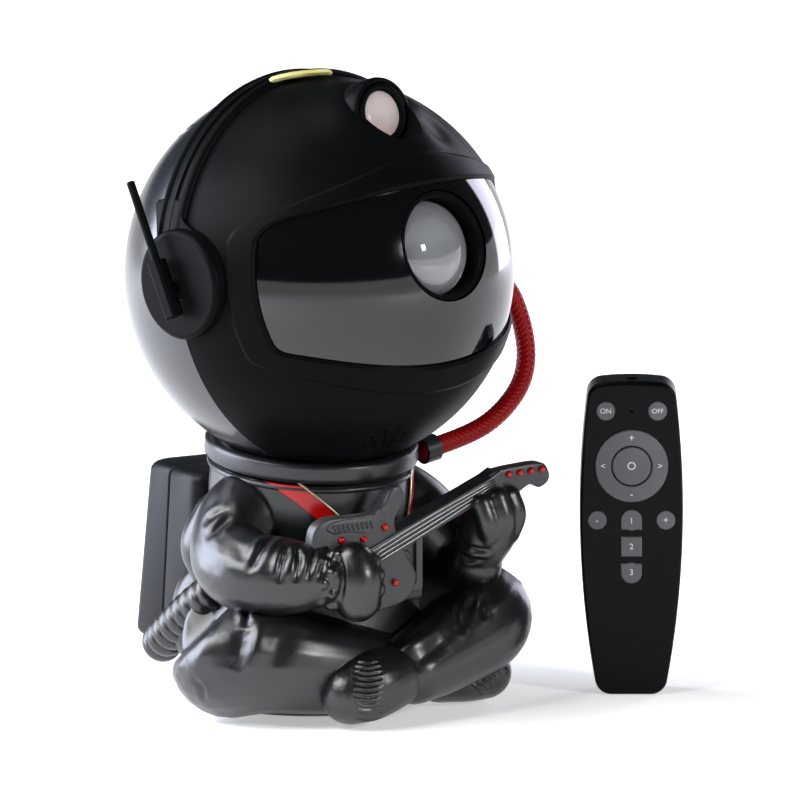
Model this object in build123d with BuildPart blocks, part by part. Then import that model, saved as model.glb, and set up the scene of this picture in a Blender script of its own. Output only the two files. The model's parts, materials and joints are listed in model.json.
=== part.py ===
"""A seated astronaut night-sky projector with a guitar, and its remote control (millimetres)."""
from build123d import *
import os
from math import asin, cos, pi, radians, sin, sqrt
from itertools import pairwise

os.makedirs("parts", exist_ok=True)

# ---- driving dimensions: helmet and neck ----
helmet_radius = 70.0
helmet_wall = 2.4
neck_height = 84.0          # base of the neck above the floor
neck_tilt = 6.0             # the neck leans forward by this angle
head_lift = 2.9             # lowest point of the ball above the neck's base, along the neck
head_height = helmet_radius + head_lift
head_yaw = 14.0             # the face is turned to its left
head_pitch = 21.0           # and looks up
seam_lean = 7.0             # the band and the helmet seam lean forward of the head's upright
fit_gap = 0.05              # radial gap of a pin or spigot that turns in its bore
easy_gap = 0.1              # radial gap of a part that is dropped into its bore
seat_gap = 0.3              # gap between curved faces that lie on each other

# ---- visor ----
visor_side_inset = 8.0      # from the ball's side to the visor's side, seen from ahead
visor_corner_inset = 13.0
visor_half_width = helmet_radius - visor_side_inset
visor_top = 22.5
visor_side_top = 19.5
visor_side_bottom = -26.0
visor_bottom = -41.5
visor_shoulder = helmet_radius - visor_corner_inset
visor_corner = 9.0
visor_recess = 1.0
visor_thickness = 2.0
visor_edge_gap = 0.25

# ---- headphones and antenna ----
band_width = 8.0
band_thickness = 1.5
band_groove = 0.5
band_line = 1.0             # width of each raised line along the band's edges
band_end_angle = 21.4
ear_radius = 19.8
ear_proud = 1.8
ear_face = helmet_radius + ear_proud
ear_round = 2.0
ear_depth = 11.8            # from the outer face inwards, before the ball is cut away
ear_forward = 3.0           # the cups' centres are this far ahead of the ball's centre, and above it by
ear_lift = 5.0
antenna_forward = 1.5       # the antenna's pivot, from the ball's centre
antenna_lift = 4.5
antenna_lean = 10.0
holder_width = 5.5
holder_length = 21.0
holder_standoff = 1.6
holder_round = 1.2
pivot_root = 1.0            # the pivot pin runs this far into the holder
pivot_radius = 2.0
pivot_depth = 1.6
rod_radius = 1.5
rod_reach = 30.0
rod_depth = 7.5

# ---- projector unit inside the helmet, stations along the line of sight ----
lens_radius = 15.5
lens_inset = 18.5           # the ball lens's centre is this far inside the helmet's front
lens_station = helmet_radius - lens_inset
lens_gap = 0.4              # radial gap between the ball and the hood's bore
lens_seat_back = 10.0       # the seat is this far behind the ball's centre
lens_seat_slope = 3.5
hood_radius = 19.9
hood_rim = 1.3
hood_inset = 3.6
hood_flare = 6.4
hood_seat_depth = 11.5      # from the lens centre back to the hood's foot
hood_front = helmet_radius - hood_inset
hood_throat = hood_front - hood_flare
hood_back = lens_station - hood_seat_depth
flange_thickness = 3.0
flange_radius = 27.5
post_radius = 2.5
post_count = 3
post_first = 18.0           # angle of the first post and the step to the next
post_step = 72.0
hood_stand = 11.5           # the hood's foot stands this far ahead of the light frame
frame_front = hood_back - hood_stand
frame_clearance = 2.3
frame_edge = 4.0            # from the frame's edge to its screws
frame_radius = sqrt((helmet_radius - helmet_wall) ** 2 - frame_front ** 2) - frame_clearance
frame_thickness = 2.5
frame_screw_ring = frame_radius - frame_edge
frame_screw_angles = (40, 140, 230, 310)
wheel_teeth = 48
pinion_teeth = 12
tooth_module = 1.0
tooth_dedendum = 1.15       # tooth proportions, in modules
tooth_addendum = 0.8
tooth_foot_half = 0.95
tooth_tip_half = 0.38
tooth_sink = 0.4            # the teeth run this far into the disc
mesh_slack = 0.2
wheel_drop = 13.0           # wheel axle below the line of sight
pinion_angle = -45.0        # seen from the front, about the wheel axle
speaker_notch = 19.0
wheel_stand = 4.0           # the wheel runs this far ahead of the frame
wheel_station = frame_front + wheel_stand
wheel_thickness = 2.0
hub_radius = 5.0
hub_length = 5.0
axle_radius = 2.0
shaft_radius = 1.0
shaft_end_gap = 0.5
pinion_overhang = 0.5       # the pinion stands out past the wheel on each side
motor_radius = 10.0
motor_length = 12.0
motor_round = 1.0
light_hole = 9.0
board_radius = 12.5
board_thickness = 1.6
led_radius = 1.8
led_ring = 4.5
led_height = 1.6
sink_radius = 14.0
sink_base = 3.0
fin_depth = 12.0
fin_thickness = 1.4
fin_pitch = 4.4

# ---- star laser ----
laser_elevation = 42.0
laser_window_radius = 7.5
laser_window_thickness = 1.5
laser_bezel_radius = 11.2
laser_bezel_flange = 13.5
laser_proud = 1.2
laser_bezel_front = helmet_radius + laser_proud
laser_radius = 6.0
laser_inset = 2.7
laser_length = 18.5
laser_flange_thickness = 3.0
laser_bore_depth = 4.0
window_recess = 0.3
laser_front = laser_bezel_front - laser_inset
laser_back = laser_front - laser_length

# ---- speaker, control board and mode button ----
speaker_azimuth = -22.0
speaker_elevation = -66.0
speaker_radius = 13.0
speaker_depth = 5.0
speaker_magnet = 8.0
speaker_rim = 1.5
sound_hole = 0.65
sound_ring = 3.8
control_width = 36.0
control_height = 30.0
control_drop = 10.0
control_inset = 15.0        # the control board's face, inside the helmet's back
control_station = helmet_radius - control_inset
post_spread = 28.0
post_rise = 22.0
socket_width = 9.0
socket_height = 3.3
socket_drop = 20.0
socket_wall = 0.5
socket_floor = 3.0
socket_round = 0.45         # corner radius as a share of the opening's height
button_radius = 4.5
button_rise = 3.0
button_proud = 0.9
button_travel = 1.0
switch_height = 3.5
switch_width = 6.0
button_round = 0.6
plate_radius = 22.0
plate_thickness = 1.2

# ---- screws ----
screw_radius = 1.1
screw_length = 12.0
screw_head_radius = 2.3
screw_head_height = 1.7
boss_radius = 3.5
boss_inset = 5.5
boss_ring = helmet_radius - boss_inset
boss_depth = 14.0
bearing_depth = 8.0         # plastic under a screw head
head_recess = 0.2           # a base screw's head lies this far inside the plate
helmet_screw_angles = (60, 120, 240, 300)

# ---- collar ----
collar_radius = 38.4
collar_bottom = 4.2         # heights along the neck
collar_top = 11.4
collar_lip = 27.5
collar_chamfer = 1.0
spigot_radius = 30.0
spigot_top = 6.5
magnet_well = 24.0
magnet_radius = 18.0
magnet_thickness = 2.2
shoulder_height = 3.2

# ---- hose ----
hose_radius = 3.6
ferrule_wall = 1.2
ferrule_bite = 0.5          # the ferrule reaches this far inside the collar's rim
ferrule_length = 6.0
hose_route = (
    (66.0, 3.5, 152.0), (82.0, 3.4, 147.5), (89.4, 0.0, 126.0), (86.5, -5.0, 110.5),
    (74.0, -10.0, 99.5), (57.5, -14.0, 92.8), (36.5, -16.4, 89.6),
)
hose_bend = 0.45
hose_cut = 60.0             # the hose is trimmed from here out to the ear cup's face

# ---- torso, heights above the floor ----
torso_wall = 2.2
floor_gap = 1.0             # underside of the shell above the floor
torso_outline = ((39.5, 1.0), (43.0, 20.0), (40.0, 42.0), (36.0, 62.0), (36.2, 80.0), (34.0, 94.0))
base_thickness = 3.0
base_screw_ring = 33.0
base_boss_radius = 5.6
base_boss_height = 16.0
foot_radius = 6.0
foot_ring = 24.0

# ---- limbs: centre and radius of each ball of flesh, from the body outwards ----
right_arm_line = (((-34.0, -9.0, 70.0), 15.5), ((-47.0, -22.0, 55.0), 15.5), ((-36.0, -40.0, 53.5), 13.5),
                  ((-20.0, -50.0, 54.5), 9.8), ((-10.0, -55.0, 52.5), 9.8))
left_arm_line = (((35.0, -9.0, 69.0), 14.5), ((50.0, -20.0, 49.0), 12.5), ((46.5, -38.0, 51.0), 9.6),
                 ((47.5, -43.0, 67.5), 11.3))
right_leg_line = (((-22.0, -4.0, 27.0), 24.0), ((-48.0, -24.0, 26.5), 21.5), ((-14.0, -37.0, 19.5), 17.0),
                  ((24.0, -34.0, 14.0), 11.5))
left_leg_line = (((24.0, -4.0, 28.0), 22.0), ((54.0, -30.0, 31.0), 17.0), ((12.0, -51.0, 19.0), 13.5))
right_boot_line = (((34.0, -33.0, 11.5), 10.5), ((54.0, -36.0, 11.5), 10.0))
left_boot_line = (((2.0, -53.0, 16.0), 11.5), ((-15.0, -52.0, 11.5), 10.5))
neck_of_limb = 0.985        # a ball is drawn this much smaller where the next length starts

# ---- backpack and tube ----
pack_front = 27.0
pack_bottom = 16.0
pack_top = 80.0
pack_half_top = 30.0
pack_half_bottom = 33.5
pack_depth_top = 34.0
pack_depth_bottom = 38.0
pack_corner = 6.0
pack_edge = 3.0
pack_wall = 2.0
pack_seam = 47.0
pod_radius = 4.6
pod_bottom = 22.0
pod_top = 56.0
pod_back = 54.0
pod_overlap = 2.4           # the pods stand out from the pack's top width
pod_splay = 1.0
pod_side = pack_half_top + pod_overlap
tube_start = (-39.5, -1.5, 44.0)
tube_end = (-39.5, 40.0, 17.0)
tube_core = 5.7
tube_ring = 7.1
tube_rings = 9

# ---- chest: straps, control box, guitar ----
strap_thickness = 0.9
strap_right = ((-31.0, 86.0), (-22.5, 86.0), (-6.5, 71.0), (-15.0, 71.0))
strap_left = ((27.5, 86.0), (33.5, 86.0), (29.5, 69.0), (24.0, 69.0))
box_half_width = 22.0
box_bottom = 39.0
box_top = 69.0
box_front = 42.5
box_bevel = 3.0
guitar_front = 50.0
guitar_thickness = 5.0
guitar_centre = (-2.0, 59.5)
guitar_angle = 24.3
guitar_body = (
    (-17.0, 21.5), (-10.5, 22.0), (-2.5, 18.5), (5.0, 15.5), (11.0, 16.0), (16.0, 19.5),
    (19.5, 18.8), (20.5, 15.5), (17.5, 11.5), (12.5, 7.5), (12.0, -4.0), (12.5, -14.0),
    (6.0, -20.0), (-4.0, -19.0), (-14.0, -15.5), (-22.0, -8.0), (-24.0, 4.0), (-21.5, 15.0),
)
neck_half_width = 2.7
neck_end = 50.0
guitar_head = (
    (59.0, -8.0), (67.0, -7.6), (70.0, -10.6), (74.5, -10.0), (76.0, -6.5), (74.5, -2.2), (56.0, 4.4),
)
stud_radius = 1.25
stud_height = 1.0
body_studs = ((-9.4, 12.8), (-1.3, 8.6), (8.1, 8.3), (3.5, -12.0))
first_tuner = (60.5, 0.6)
last_tuner = (73.3, -4.4)

# ---- remote, standing on its lower end and facing the front left ----
remote_place = (108.0, -43.0)
remote_turn = -30.0
remote_height = 113.0
remote_half_top = 15.4
remote_half_wide = 18.5
remote_half_bottom = 12.0
remote_wide_drop = 43.0     # the widest place is this far below the top
remote_wide_height = remote_height - remote_wide_drop
remote_corner = 6.0
remote_crown = 1.2          # rise of the top edge in its middle
remote_depth = 18.0
remote_wall = 1.5
remote_edge = 1.6
key_gap = 0.2
key_proud = 0.9
key_travel = 0.8
key_flange = 0.8
key_flange_thickness = 0.6
remote_board_thickness = 1.2
key_small = 3.4
ring_outer = 13.1
ring_inner = 7.4
on_drop = 9.5               # the upper keys are this far below the top
on_height = remote_height - on_drop
ring_step = 20.0            # from each row of keys down to the next
laser_step = 19.7
key_step = 9.8
ring_height = on_height - ring_step
centre_key = 6.9
square_width = 7.6
square_height = 7.2
on_spread = 9.3
laser_key_height = ring_height - laser_step
laser_key_spread = 12.3
mode_rise = 0.2
mode_key_height = laser_key_height + mode_rise
square_key_height = mode_key_height - key_step
round_key_height = square_key_height - key_step
battery_radius = 5.25
battery_length = 44.5
battery_bottom = 9.0
battery_top = battery_bottom + battery_length
battery_gap = 0.3
door_half_width = 11.0
door_reach = 3.0            # the door runs past the cells at the top, and under them by
door_heel = 2.0
door_bottom = battery_bottom - door_heel
door_top = battery_top + door_reach
door_corner = 2.0
door_gap = 0.15
board_bottom = 36.0
board_post_spread = 12.5
board_post_drops = (43.0, 15.0)
board_post_heights = [remote_height - drop for drop in board_post_drops]
board_post_radius = 1.8
emitter_radius = 2.2
emitter_length = 8.0
light_pipe = 0.6
key_round = 0.5

# ---- frames: neck, head, seam and what points out of the helmet ----
neck_frame = Plane(Location((0, 0, neck_height), (neck_tilt, 0, 0)))
ball_frame = Plane(neck_frame.location * Location((0, 0, head_height)))
head_turn = Location((0, 0, 0), (0, 0, head_yaw)) * Location((0, 0, 0), (-head_pitch, 0, 0))
head_frame = Plane(ball_frame.location * head_turn)
seam_frame = Plane(head_frame.location * Location((0, 0, 0), (seam_lean, 0, 0)))
laser_frame = Plane(head_frame.location * Location((0, 0, 0), (90 - laser_elevation, 0, 0)))


def within(frame, local):
    """The world plane of a plane that is given in a frame's own coordinates."""
    return Plane(frame.location * local.location)


def sight_plane(frame, station):
    """A plane across a frame's line of sight, facing forward, at a distance ahead of its centre."""
    return within(frame, Plane.XZ.offset(station))


def polar(radius, angle):
    """A point on a circle about the origin."""
    return (radius * cos(radians(angle)), radius * sin(radians(angle)))


def keep(piece, node):
    """Label a finished piece and write it as its own file."""
    piece.part.label = node
    export_step(piece.part, f"parts/{node}.step")


inner_radius = helmet_radius - helmet_wall
speaker_direction = Vector(
    cos(radians(speaker_elevation)) * sin(radians(speaker_azimuth)),
    -cos(radians(speaker_elevation)) * cos(radians(speaker_azimuth)),
    sin(radians(speaker_elevation)),
)
speaker_frame = within(head_frame, Plane((0, 0, 0), x_dir=(1, 0, 0), z_dir=speaker_direction))
frame_spots = [polar(frame_screw_ring, angle) for angle in frame_screw_angles]
helmet_spots = [polar(boss_ring, angle) for angle in helmet_screw_angles]
control_posts = [(x, z - control_drop) for x in (-post_spread / 2, post_spread / 2)
                 for z in (-post_rise / 2, post_rise / 2)]


# ---- helmet ----
def bosses(plane, spots, radius, length):
    """Round bosses on a plane, trimmed where they enter the helmet wall."""
    with BuildPart() as posts:
        with BuildSketch(plane):
            with Locations(*spots):
                Circle(radius)
        extrude(amount=length)
        with Locations(head_frame):
            Sphere(helmet_radius - helmet_wall / 2, mode=Mode.INTERSECT)
    return posts.part


def holes(plane, spots, radius, length):
    """Round holes cut into the part that is being built."""
    with BuildSketch(plane) as circles:
        with Locations(*spots):
            Circle(radius)
    extrude(circles.sketch, amount=length, mode=Mode.SUBTRACT)


def visor_outline(grow):
    """The visor's outline as seen from straight ahead, larger all round by grow."""
    across = visor_shoulder + grow
    over = visor_side_top + grow
    under = visor_side_bottom - grow
    bulge = visor_half_width + grow
    with BuildSketch(within(head_frame, Plane.XZ)) as outline:
        with BuildLine():
            middle = (over + under) / 2
            ThreePointArc((-across, over), (0, visor_top + grow), (across, over))
            ThreePointArc((across, over), (bulge, middle), (across, under))
            ThreePointArc((across, under), (0, visor_bottom - grow), (-across, under))
            ThreePointArc((-across, under), (-bulge, middle), (-across, over))
        make_face()
        fillet(outline.vertices(), visor_corner + grow)
    return outline.sketch


def helmet_shell(side):
    """Half of the hollow ball, on one side of the seam."""
    with BuildPart() as half:
        with Locations(head_frame):
            Sphere(helmet_radius)
            Sphere(inner_radius, mode=Mode.SUBTRACT)
        split(bisect_by=within(seam_frame, Plane.XZ), keep=side)
    return half.part


def make_helmet_front():
    shell = helmet_shell(Keep.TOP)
    seam_bosses = bosses(within(seam_frame, Plane.XZ), helmet_spots, boss_radius, boss_depth)
    frame_bosses = bosses(sight_plane(head_frame, frame_front), frame_spots, boss_radius, helmet_radius)
    opening = visor_outline(0)
    with BuildPart() as front:
        add(shell)
        add(seam_bosses)
        add(frame_bosses)
        extrude(opening, amount=helmet_radius + easy_gap, mode=Mode.SUBTRACT)
        holes(within(seam_frame, Plane.XZ), helmet_spots, screw_radius + fit_gap, screw_length)
        holes(sight_plane(head_frame, frame_front), frame_spots, screw_radius + fit_gap, screw_length)
        with BuildSketch(laser_frame):
            Circle(laser_bezel_radius + easy_gap)
        extrude(amount=helmet_radius + laser_bezel_radius, mode=Mode.SUBTRACT)
        with BuildSketch(speaker_frame):
            Circle(sound_hole)
            with PolarLocations(sound_ring, 6):
                Circle(sound_hole)
            with PolarLocations(2 * sound_ring, 9):
                Circle(sound_hole)
        extrude(amount=helmet_radius + helmet_wall, mode=Mode.SUBTRACT)
    keep(front, "helmet_front")


def make_helmet_back():
    shell = helmet_shell(Keep.BOTTOM)
    seam = within(seam_frame, Plane.XZ)
    seam_bosses = bosses(seam, helmet_spots, boss_radius, -helmet_radius)
    board_posts = bosses(sight_plane(head_frame, -control_station - board_thickness), control_posts,
                         post_radius, -helmet_radius)
    button_place = (0, button_rise - control_drop)
    socket_place = (0, -socket_drop)
    with BuildPart() as back:
        add(shell)
        add(seam_bosses)
        add(board_posts)
        holes(seam, helmet_spots, screw_radius + easy_gap, -bearing_depth)
        holes(sight_plane(seam_frame, -bearing_depth), helmet_spots, screw_head_radius + easy_gap,
              -helmet_radius)
        holes(sight_plane(head_frame, -control_station), [button_place], button_radius + easy_gap,
              -helmet_radius)
        with BuildSketch(sight_plane(head_frame, -control_station)):
            with Locations(socket_place):
                RectangleRounded(socket_width + 2 * easy_gap, socket_height + 2 * easy_gap, socket_height / 2)
        extrude(amount=-helmet_radius, mode=Mode.SUBTRACT)
    keep(back, "helmet_back")


def make_visor():
    outer = helmet_radius - visor_recess
    outline = visor_outline(-visor_edge_gap)
    with BuildPart() as visor:
        extrude(outline, amount=helmet_radius)
        with Locations(head_frame):
            Sphere(outer, mode=Mode.INTERSECT)
            Sphere(outer - visor_thickness, mode=Mode.SUBTRACT)
        holes(within(head_frame, Plane.XZ), [(0, 0)], hood_radius + seat_gap, helmet_radius)
    keep(visor, "visor")


def make_helmet_screws():
    seam = sight_plane(seam_frame, -bearing_depth)
    plate = sight_plane(head_frame, frame_front - frame_thickness)
    with BuildPart() as screws:
        for plane, spots in ((seam, helmet_spots), (plate, frame_spots)):
            with BuildSketch(plane):
                with Locations(*spots):
                    Circle(screw_head_radius)
            extrude(amount=-screw_head_height)
            with BuildSketch(plane):
                with Locations(*spots):
                    Circle(screw_radius)
            extrude(amount=screw_length)
    keep(screws, "helmet_screws")


# ---- headphones ----
def make_headband():
    inner = helmet_radius + fit_gap
    outer = inner + band_thickness
    floor = outer - band_groove
    edge = band_width / 2
    rail = edge - 2 * band_groove
    inside = rail - band_line
    start = Location((0, 0, 0), (0, -band_end_angle, 0))
    with BuildPart() as band:
        with BuildSketch(Plane(seam_frame.location * start)):
            with BuildLine():
                Polyline((inner, -edge), (floor, -edge), (outer, -rail), (outer, -inside),
                         (floor, band_groove - inside), (floor, inside - band_groove),
                         (outer, inside), (outer, rail), (floor, edge), (inner, edge), close=True)
            make_face()
        revolve(axis=Axis(seam_frame.origin, -seam_frame.y_dir), revolution_arc=180 - 2 * band_end_angle)
    keep(band, "headband")


def make_ear_cup(side, node):
    back = ear_face - ear_depth
    with BuildPart() as cup:
        with BuildSketch(within(head_frame, Plane.YZ.offset(side * back))):
            with Locations((-ear_forward, ear_lift)):
                Circle(ear_radius)
        extrude(amount=side * (ear_face - back))
        outwards = Axis(head_frame.origin, head_frame.x_dir * side)
        fillet(cup.faces().sort_by(outwards)[-1].edges(), ear_round)
        with Locations(head_frame):
            Sphere(helmet_radius + fit_gap, mode=Mode.SUBTRACT)
        if side < 0:
            with BuildSketch(within(head_frame, Plane.YZ.offset(side * ear_face))):
                with Locations((-antenna_forward, antenna_lift)):
                    Circle(pivot_radius + fit_gap)
            extrude(amount=-side * pivot_depth, mode=Mode.SUBTRACT)
    keep(cup, node)


antenna_place = Location((-ear_face, -antenna_forward, antenna_lift), (-antenna_lean, 0, 0))
antenna_frame = Plane(head_frame.location * antenna_place)


def make_antenna():
    middle = -holder_standoff - holder_width / 2
    with BuildPart(antenna_frame) as holder:
        with Locations((middle, 0, 0)):
            Box(holder_width, holder_width, holder_length)
        fillet(holder.edges().filter_by(Axis((0, 0, 0), antenna_frame.z_dir)), holder_round)
        with Locations((middle, 0, holder_length / 2)):
            Cylinder(rod_radius + fit_gap, rod_depth, align=(Align.CENTER, Align.CENTER, Align.MAX),
                     mode=Mode.SUBTRACT)
        pin = pivot_depth - fit_gap + holder_standoff + pivot_root
        with Locations((pivot_depth - fit_gap - pin / 2, 0, 0)):
            Cylinder(pivot_radius, pin, rotation=(0, 90, 0))
    keep(holder, "antenna_holder")
    with BuildPart(antenna_frame) as rod:
        with Locations((middle, 0, holder_length / 2 - rod_depth)):
            Cylinder(rod_radius, rod_depth + rod_reach, align=(Align.CENTER, Align.CENTER, Align.MIN))
        fillet(rod.edges().sort_by(Axis((0, 0, 0), antenna_frame.z_dir))[-1], rod_radius / 2)
    keep(rod, "antenna_rod")


# ---- nebula projector ----
def make_lens():
    with BuildPart(head_frame) as lens:
        with Locations((0, -lens_station, 0)):
            Sphere(lens_radius)
    keep(lens, "nebula_lens")
    bore = lens_radius + lens_gap
    seat_station = lens_station - lens_seat_back
    seat = sqrt(lens_radius ** 2 - (lens_station - seat_station) ** 2) + seat_gap
    with BuildPart() as hood:
        with BuildSketch(head_frame):
            with BuildLine():
                Polyline((hood_radius, -hood_front), (hood_radius - hood_rim, -hood_front),
                         (bore, -hood_throat), (bore, -seat_station - lens_seat_slope),
                         (seat, -seat_station), (seat, -hood_back),
                         (flange_radius, -hood_back), (flange_radius, -hood_back - flange_thickness),
                         (hood_radius, -hood_back - flange_thickness), close=True)
            make_face()
        revolve(axis=Axis(head_frame.origin, head_frame.y_dir))
    keep(hood, "lens_hood")


def toothed_disc(teeth, turn):
    """Gear outline in the open sketch, with a tooth at the turn angle."""
    pitch = teeth * tooth_module / 2
    root = pitch - tooth_dedendum * tooth_module
    tip = pitch + tooth_addendum * tooth_module
    foot = root - tooth_sink * tooth_module
    foot_half = tooth_foot_half * tooth_module
    tip_half = tooth_tip_half * tooth_module
    Circle(root)
    with PolarLocations(0, teeth, start_angle=turn):
        Polygon((foot, -foot_half), (tip, -tip_half), (tip, tip_half), (foot, foot_half), align=None)


mesh_distance = (wheel_teeth + pinion_teeth) * tooth_module / 2 + mesh_slack
pinion_across, pinion_up = polar(mesh_distance, pinion_angle)
pinion_spot = (pinion_across, pinion_up - wheel_drop)


def make_wheel_drive():
    with BuildPart() as wheel:
        with BuildSketch(sight_plane(head_frame, wheel_station)):
            with Locations((0, -wheel_drop)):
                toothed_disc(wheel_teeth, pinion_angle)
        extrude(amount=wheel_thickness)
        with BuildSketch(sight_plane(head_frame, wheel_station - (hub_length - wheel_thickness) / 2)):
            with Locations((0, -wheel_drop)):
                Circle(hub_radius)
        extrude(amount=hub_length)
        holes(sight_plane(head_frame, frame_front), [(0, -wheel_drop)], axle_radius + fit_gap, hood_back)
    keep(wheel, "effect_wheel")
    with BuildPart() as pinion:
        with BuildSketch(sight_plane(head_frame, wheel_station - pinion_overhang)):
            with Locations(pinion_spot):
                toothed_disc(pinion_teeth, pinion_angle + 180 + 180 / pinion_teeth)
        extrude(amount=wheel_thickness + 2 * pinion_overhang)
        with BuildSketch(sight_plane(head_frame, frame_front - frame_thickness - motor_length / 2)):
            with Locations(pinion_spot):
                Circle(shaft_radius)
        extrude(amount=motor_length / 2 + frame_thickness + wheel_station - frame_front)
    keep(pinion, "motor_pinion")
    with BuildPart() as motor:
        with BuildSketch(sight_plane(head_frame, frame_front - frame_thickness)):
            with Locations(pinion_spot):
                Circle(motor_radius)
        extrude(amount=-motor_length)
        fillet(motor.faces().sort_by(Axis(head_frame.origin, head_frame.y_dir))[-1].edges(), motor_round)
        holes(sight_plane(head_frame, frame_front - frame_thickness), [pinion_spot],
              shaft_radius + fit_gap, -motor_length / 2 - shaft_end_gap)
    keep(motor, "wheel_motor")


def make_light_unit():
    back = frame_front - frame_thickness
    with BuildPart() as frame:
        with BuildSketch(sight_plane(head_frame, back)):
            Circle(frame_radius)
            Circle(light_hole, mode=Mode.SUBTRACT)
            with Locations(pinion_spot):
                Circle(2 * shaft_radius, mode=Mode.SUBTRACT)
            with Locations(*frame_spots):
                Circle(screw_radius + easy_gap, mode=Mode.SUBTRACT)
            with Locations((speaker_direction.X * (helmet_radius - speaker_depth), -frame_radius)):
                Circle(speaker_notch, mode=Mode.SUBTRACT)
        extrude(amount=frame_thickness)
        with BuildSketch(sight_plane(head_frame, frame_front)):
            with PolarLocations(flange_radius - post_radius, post_count, post_first, post_count * post_step):
                Circle(post_radius)
        extrude(amount=hood_back - frame_front)
        with BuildSketch(sight_plane(head_frame, frame_front)):
            with Locations((0, -wheel_drop)):
                Circle(axle_radius)
        extrude(amount=wheel_station + hub_length - frame_front)
    keep(frame, "light_frame")
    with BuildPart() as board:
        with BuildSketch(sight_plane(head_frame, back)):
            Circle(board_radius)
        extrude(amount=-board_thickness)
        with BuildSketch(sight_plane(head_frame, back)):
            with PolarLocations(led_ring, 4):
                Circle(led_radius)
        extrude(amount=led_height)
    keep(board, "led_board")
    base = back - board_thickness
    with BuildPart() as sink:
        with BuildSketch(sight_plane(head_frame, base)):
            Circle(sink_radius)
        extrude(amount=-sink_base)
        with BuildSketch(sight_plane(head_frame, base - sink_base)):
            with GridLocations(fin_pitch, 0, 6, 1):
                Rectangle(fin_thickness, 2 * sink_radius)
            Circle(sink_radius, mode=Mode.INTERSECT)
        extrude(amount=-fin_depth)
    keep(sink, "heat_sink")


# ---- star laser ----
def make_laser():
    ledge = laser_bezel_front - laser_window_thickness - window_recess
    flange_front = sqrt(inner_radius ** 2 - laser_bezel_flange ** 2) - seat_gap
    flange_back = flange_front - laser_flange_thickness
    with BuildPart(laser_frame) as bezel:
        with BuildSketch(laser_frame.offset(flange_back)):
            Circle(laser_bezel_flange)
        extrude(amount=laser_flange_thickness)
        with BuildSketch(laser_frame.offset(flange_back)):
            Circle(laser_bezel_radius)
        extrude(amount=laser_bezel_front - flange_back)
        holes(laser_frame, [(0, 0)], laser_radius + easy_gap, laser_bezel_front)
        holes(laser_frame.offset(ledge), [(0, 0)], laser_window_radius + easy_gap, helmet_radius)
    keep(bezel, "laser_bezel")
    with BuildPart() as window:
        with BuildSketch(laser_frame.offset(ledge)):
            Circle(laser_window_radius)
        extrude(amount=laser_window_thickness)
    keep(window, "laser_window")
    with BuildPart() as module:
        with BuildSketch(laser_frame.offset(laser_back)):
            Circle(laser_radius)
        extrude(amount=laser_front - laser_back)
        holes(laser_frame.offset(laser_front - laser_bore_depth), [(0, 0)], laser_radius / 2,
              laser_bore_depth)
    keep(module, "laser_module")


# ---- speaker, controls and steel plate ----
def make_helmet_fittings():
    front = sqrt(inner_radius ** 2 - speaker_radius ** 2) - seat_gap
    with BuildPart() as speaker:
        with BuildSketch(speaker_frame.offset(front - speaker_depth)):
            Circle(speaker_radius)
        extrude(amount=speaker_depth)
        with BuildSketch(speaker_frame.offset(front - speaker_depth)):
            Circle(speaker_magnet)
        extrude(amount=-speaker_depth)
        holes(speaker_frame.offset(front - speaker_rim), [(0, 0)], speaker_radius - speaker_rim, speaker_rim)
    keep(speaker, "speaker")

    socket_reach = sqrt(helmet_radius ** 2 - socket_drop ** 2) - control_station - board_thickness - easy_gap
    mouth = socket_height - 2 * socket_wall
    with BuildPart() as board:
        with BuildSketch(sight_plane(head_frame, -control_station)):
            with Locations((0, -control_drop)):
                Rectangle(control_width, control_height)
        extrude(amount=-board_thickness)
        with BuildSketch(sight_plane(head_frame, -control_station - board_thickness)):
            with Locations((0, -socket_drop)):
                RectangleRounded(socket_width, socket_height, socket_round * socket_height)
        extrude(amount=-socket_reach)
        with BuildSketch(sight_plane(head_frame, -control_station - board_thickness)):
            with Locations((0, button_rise - control_drop)):
                Rectangle(switch_width, switch_width)
        extrude(amount=-switch_height)
        with BuildSketch(sight_plane(head_frame, -control_station - board_thickness - socket_reach)):
            with Locations((0, -socket_drop)):
                RectangleRounded(socket_width - 2 * socket_wall, mouth, socket_round * mouth)
        extrude(amount=socket_reach - socket_floor, mode=Mode.SUBTRACT)
    keep(board, "control_board")

    outside = sqrt(helmet_radius ** 2 - (button_rise - control_drop) ** 2) + button_proud
    stem_start = control_station + board_thickness + switch_height + button_travel + easy_gap
    with BuildPart() as button:
        with BuildSketch(sight_plane(head_frame, -stem_start)):
            with Locations((0, button_rise - control_drop)):
                Circle(button_radius)
        extrude(amount=stem_start - outside)
        fillet(button.faces().sort_by(Axis(head_frame.origin, head_frame.y_dir))[-1].edges(), button_round)
    keep(button, "mode_button")

    with BuildPart() as plate:
        with Locations(ball_frame):
            Sphere(inner_radius - seat_gap)
            Sphere(inner_radius - seat_gap - plate_thickness, mode=Mode.SUBTRACT)
            Cylinder(plate_radius, helmet_radius * 2, align=(Align.CENTER, Align.CENTER, Align.MAX),
                     mode=Mode.INTERSECT)
    keep(plate, "head_plate")


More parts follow.
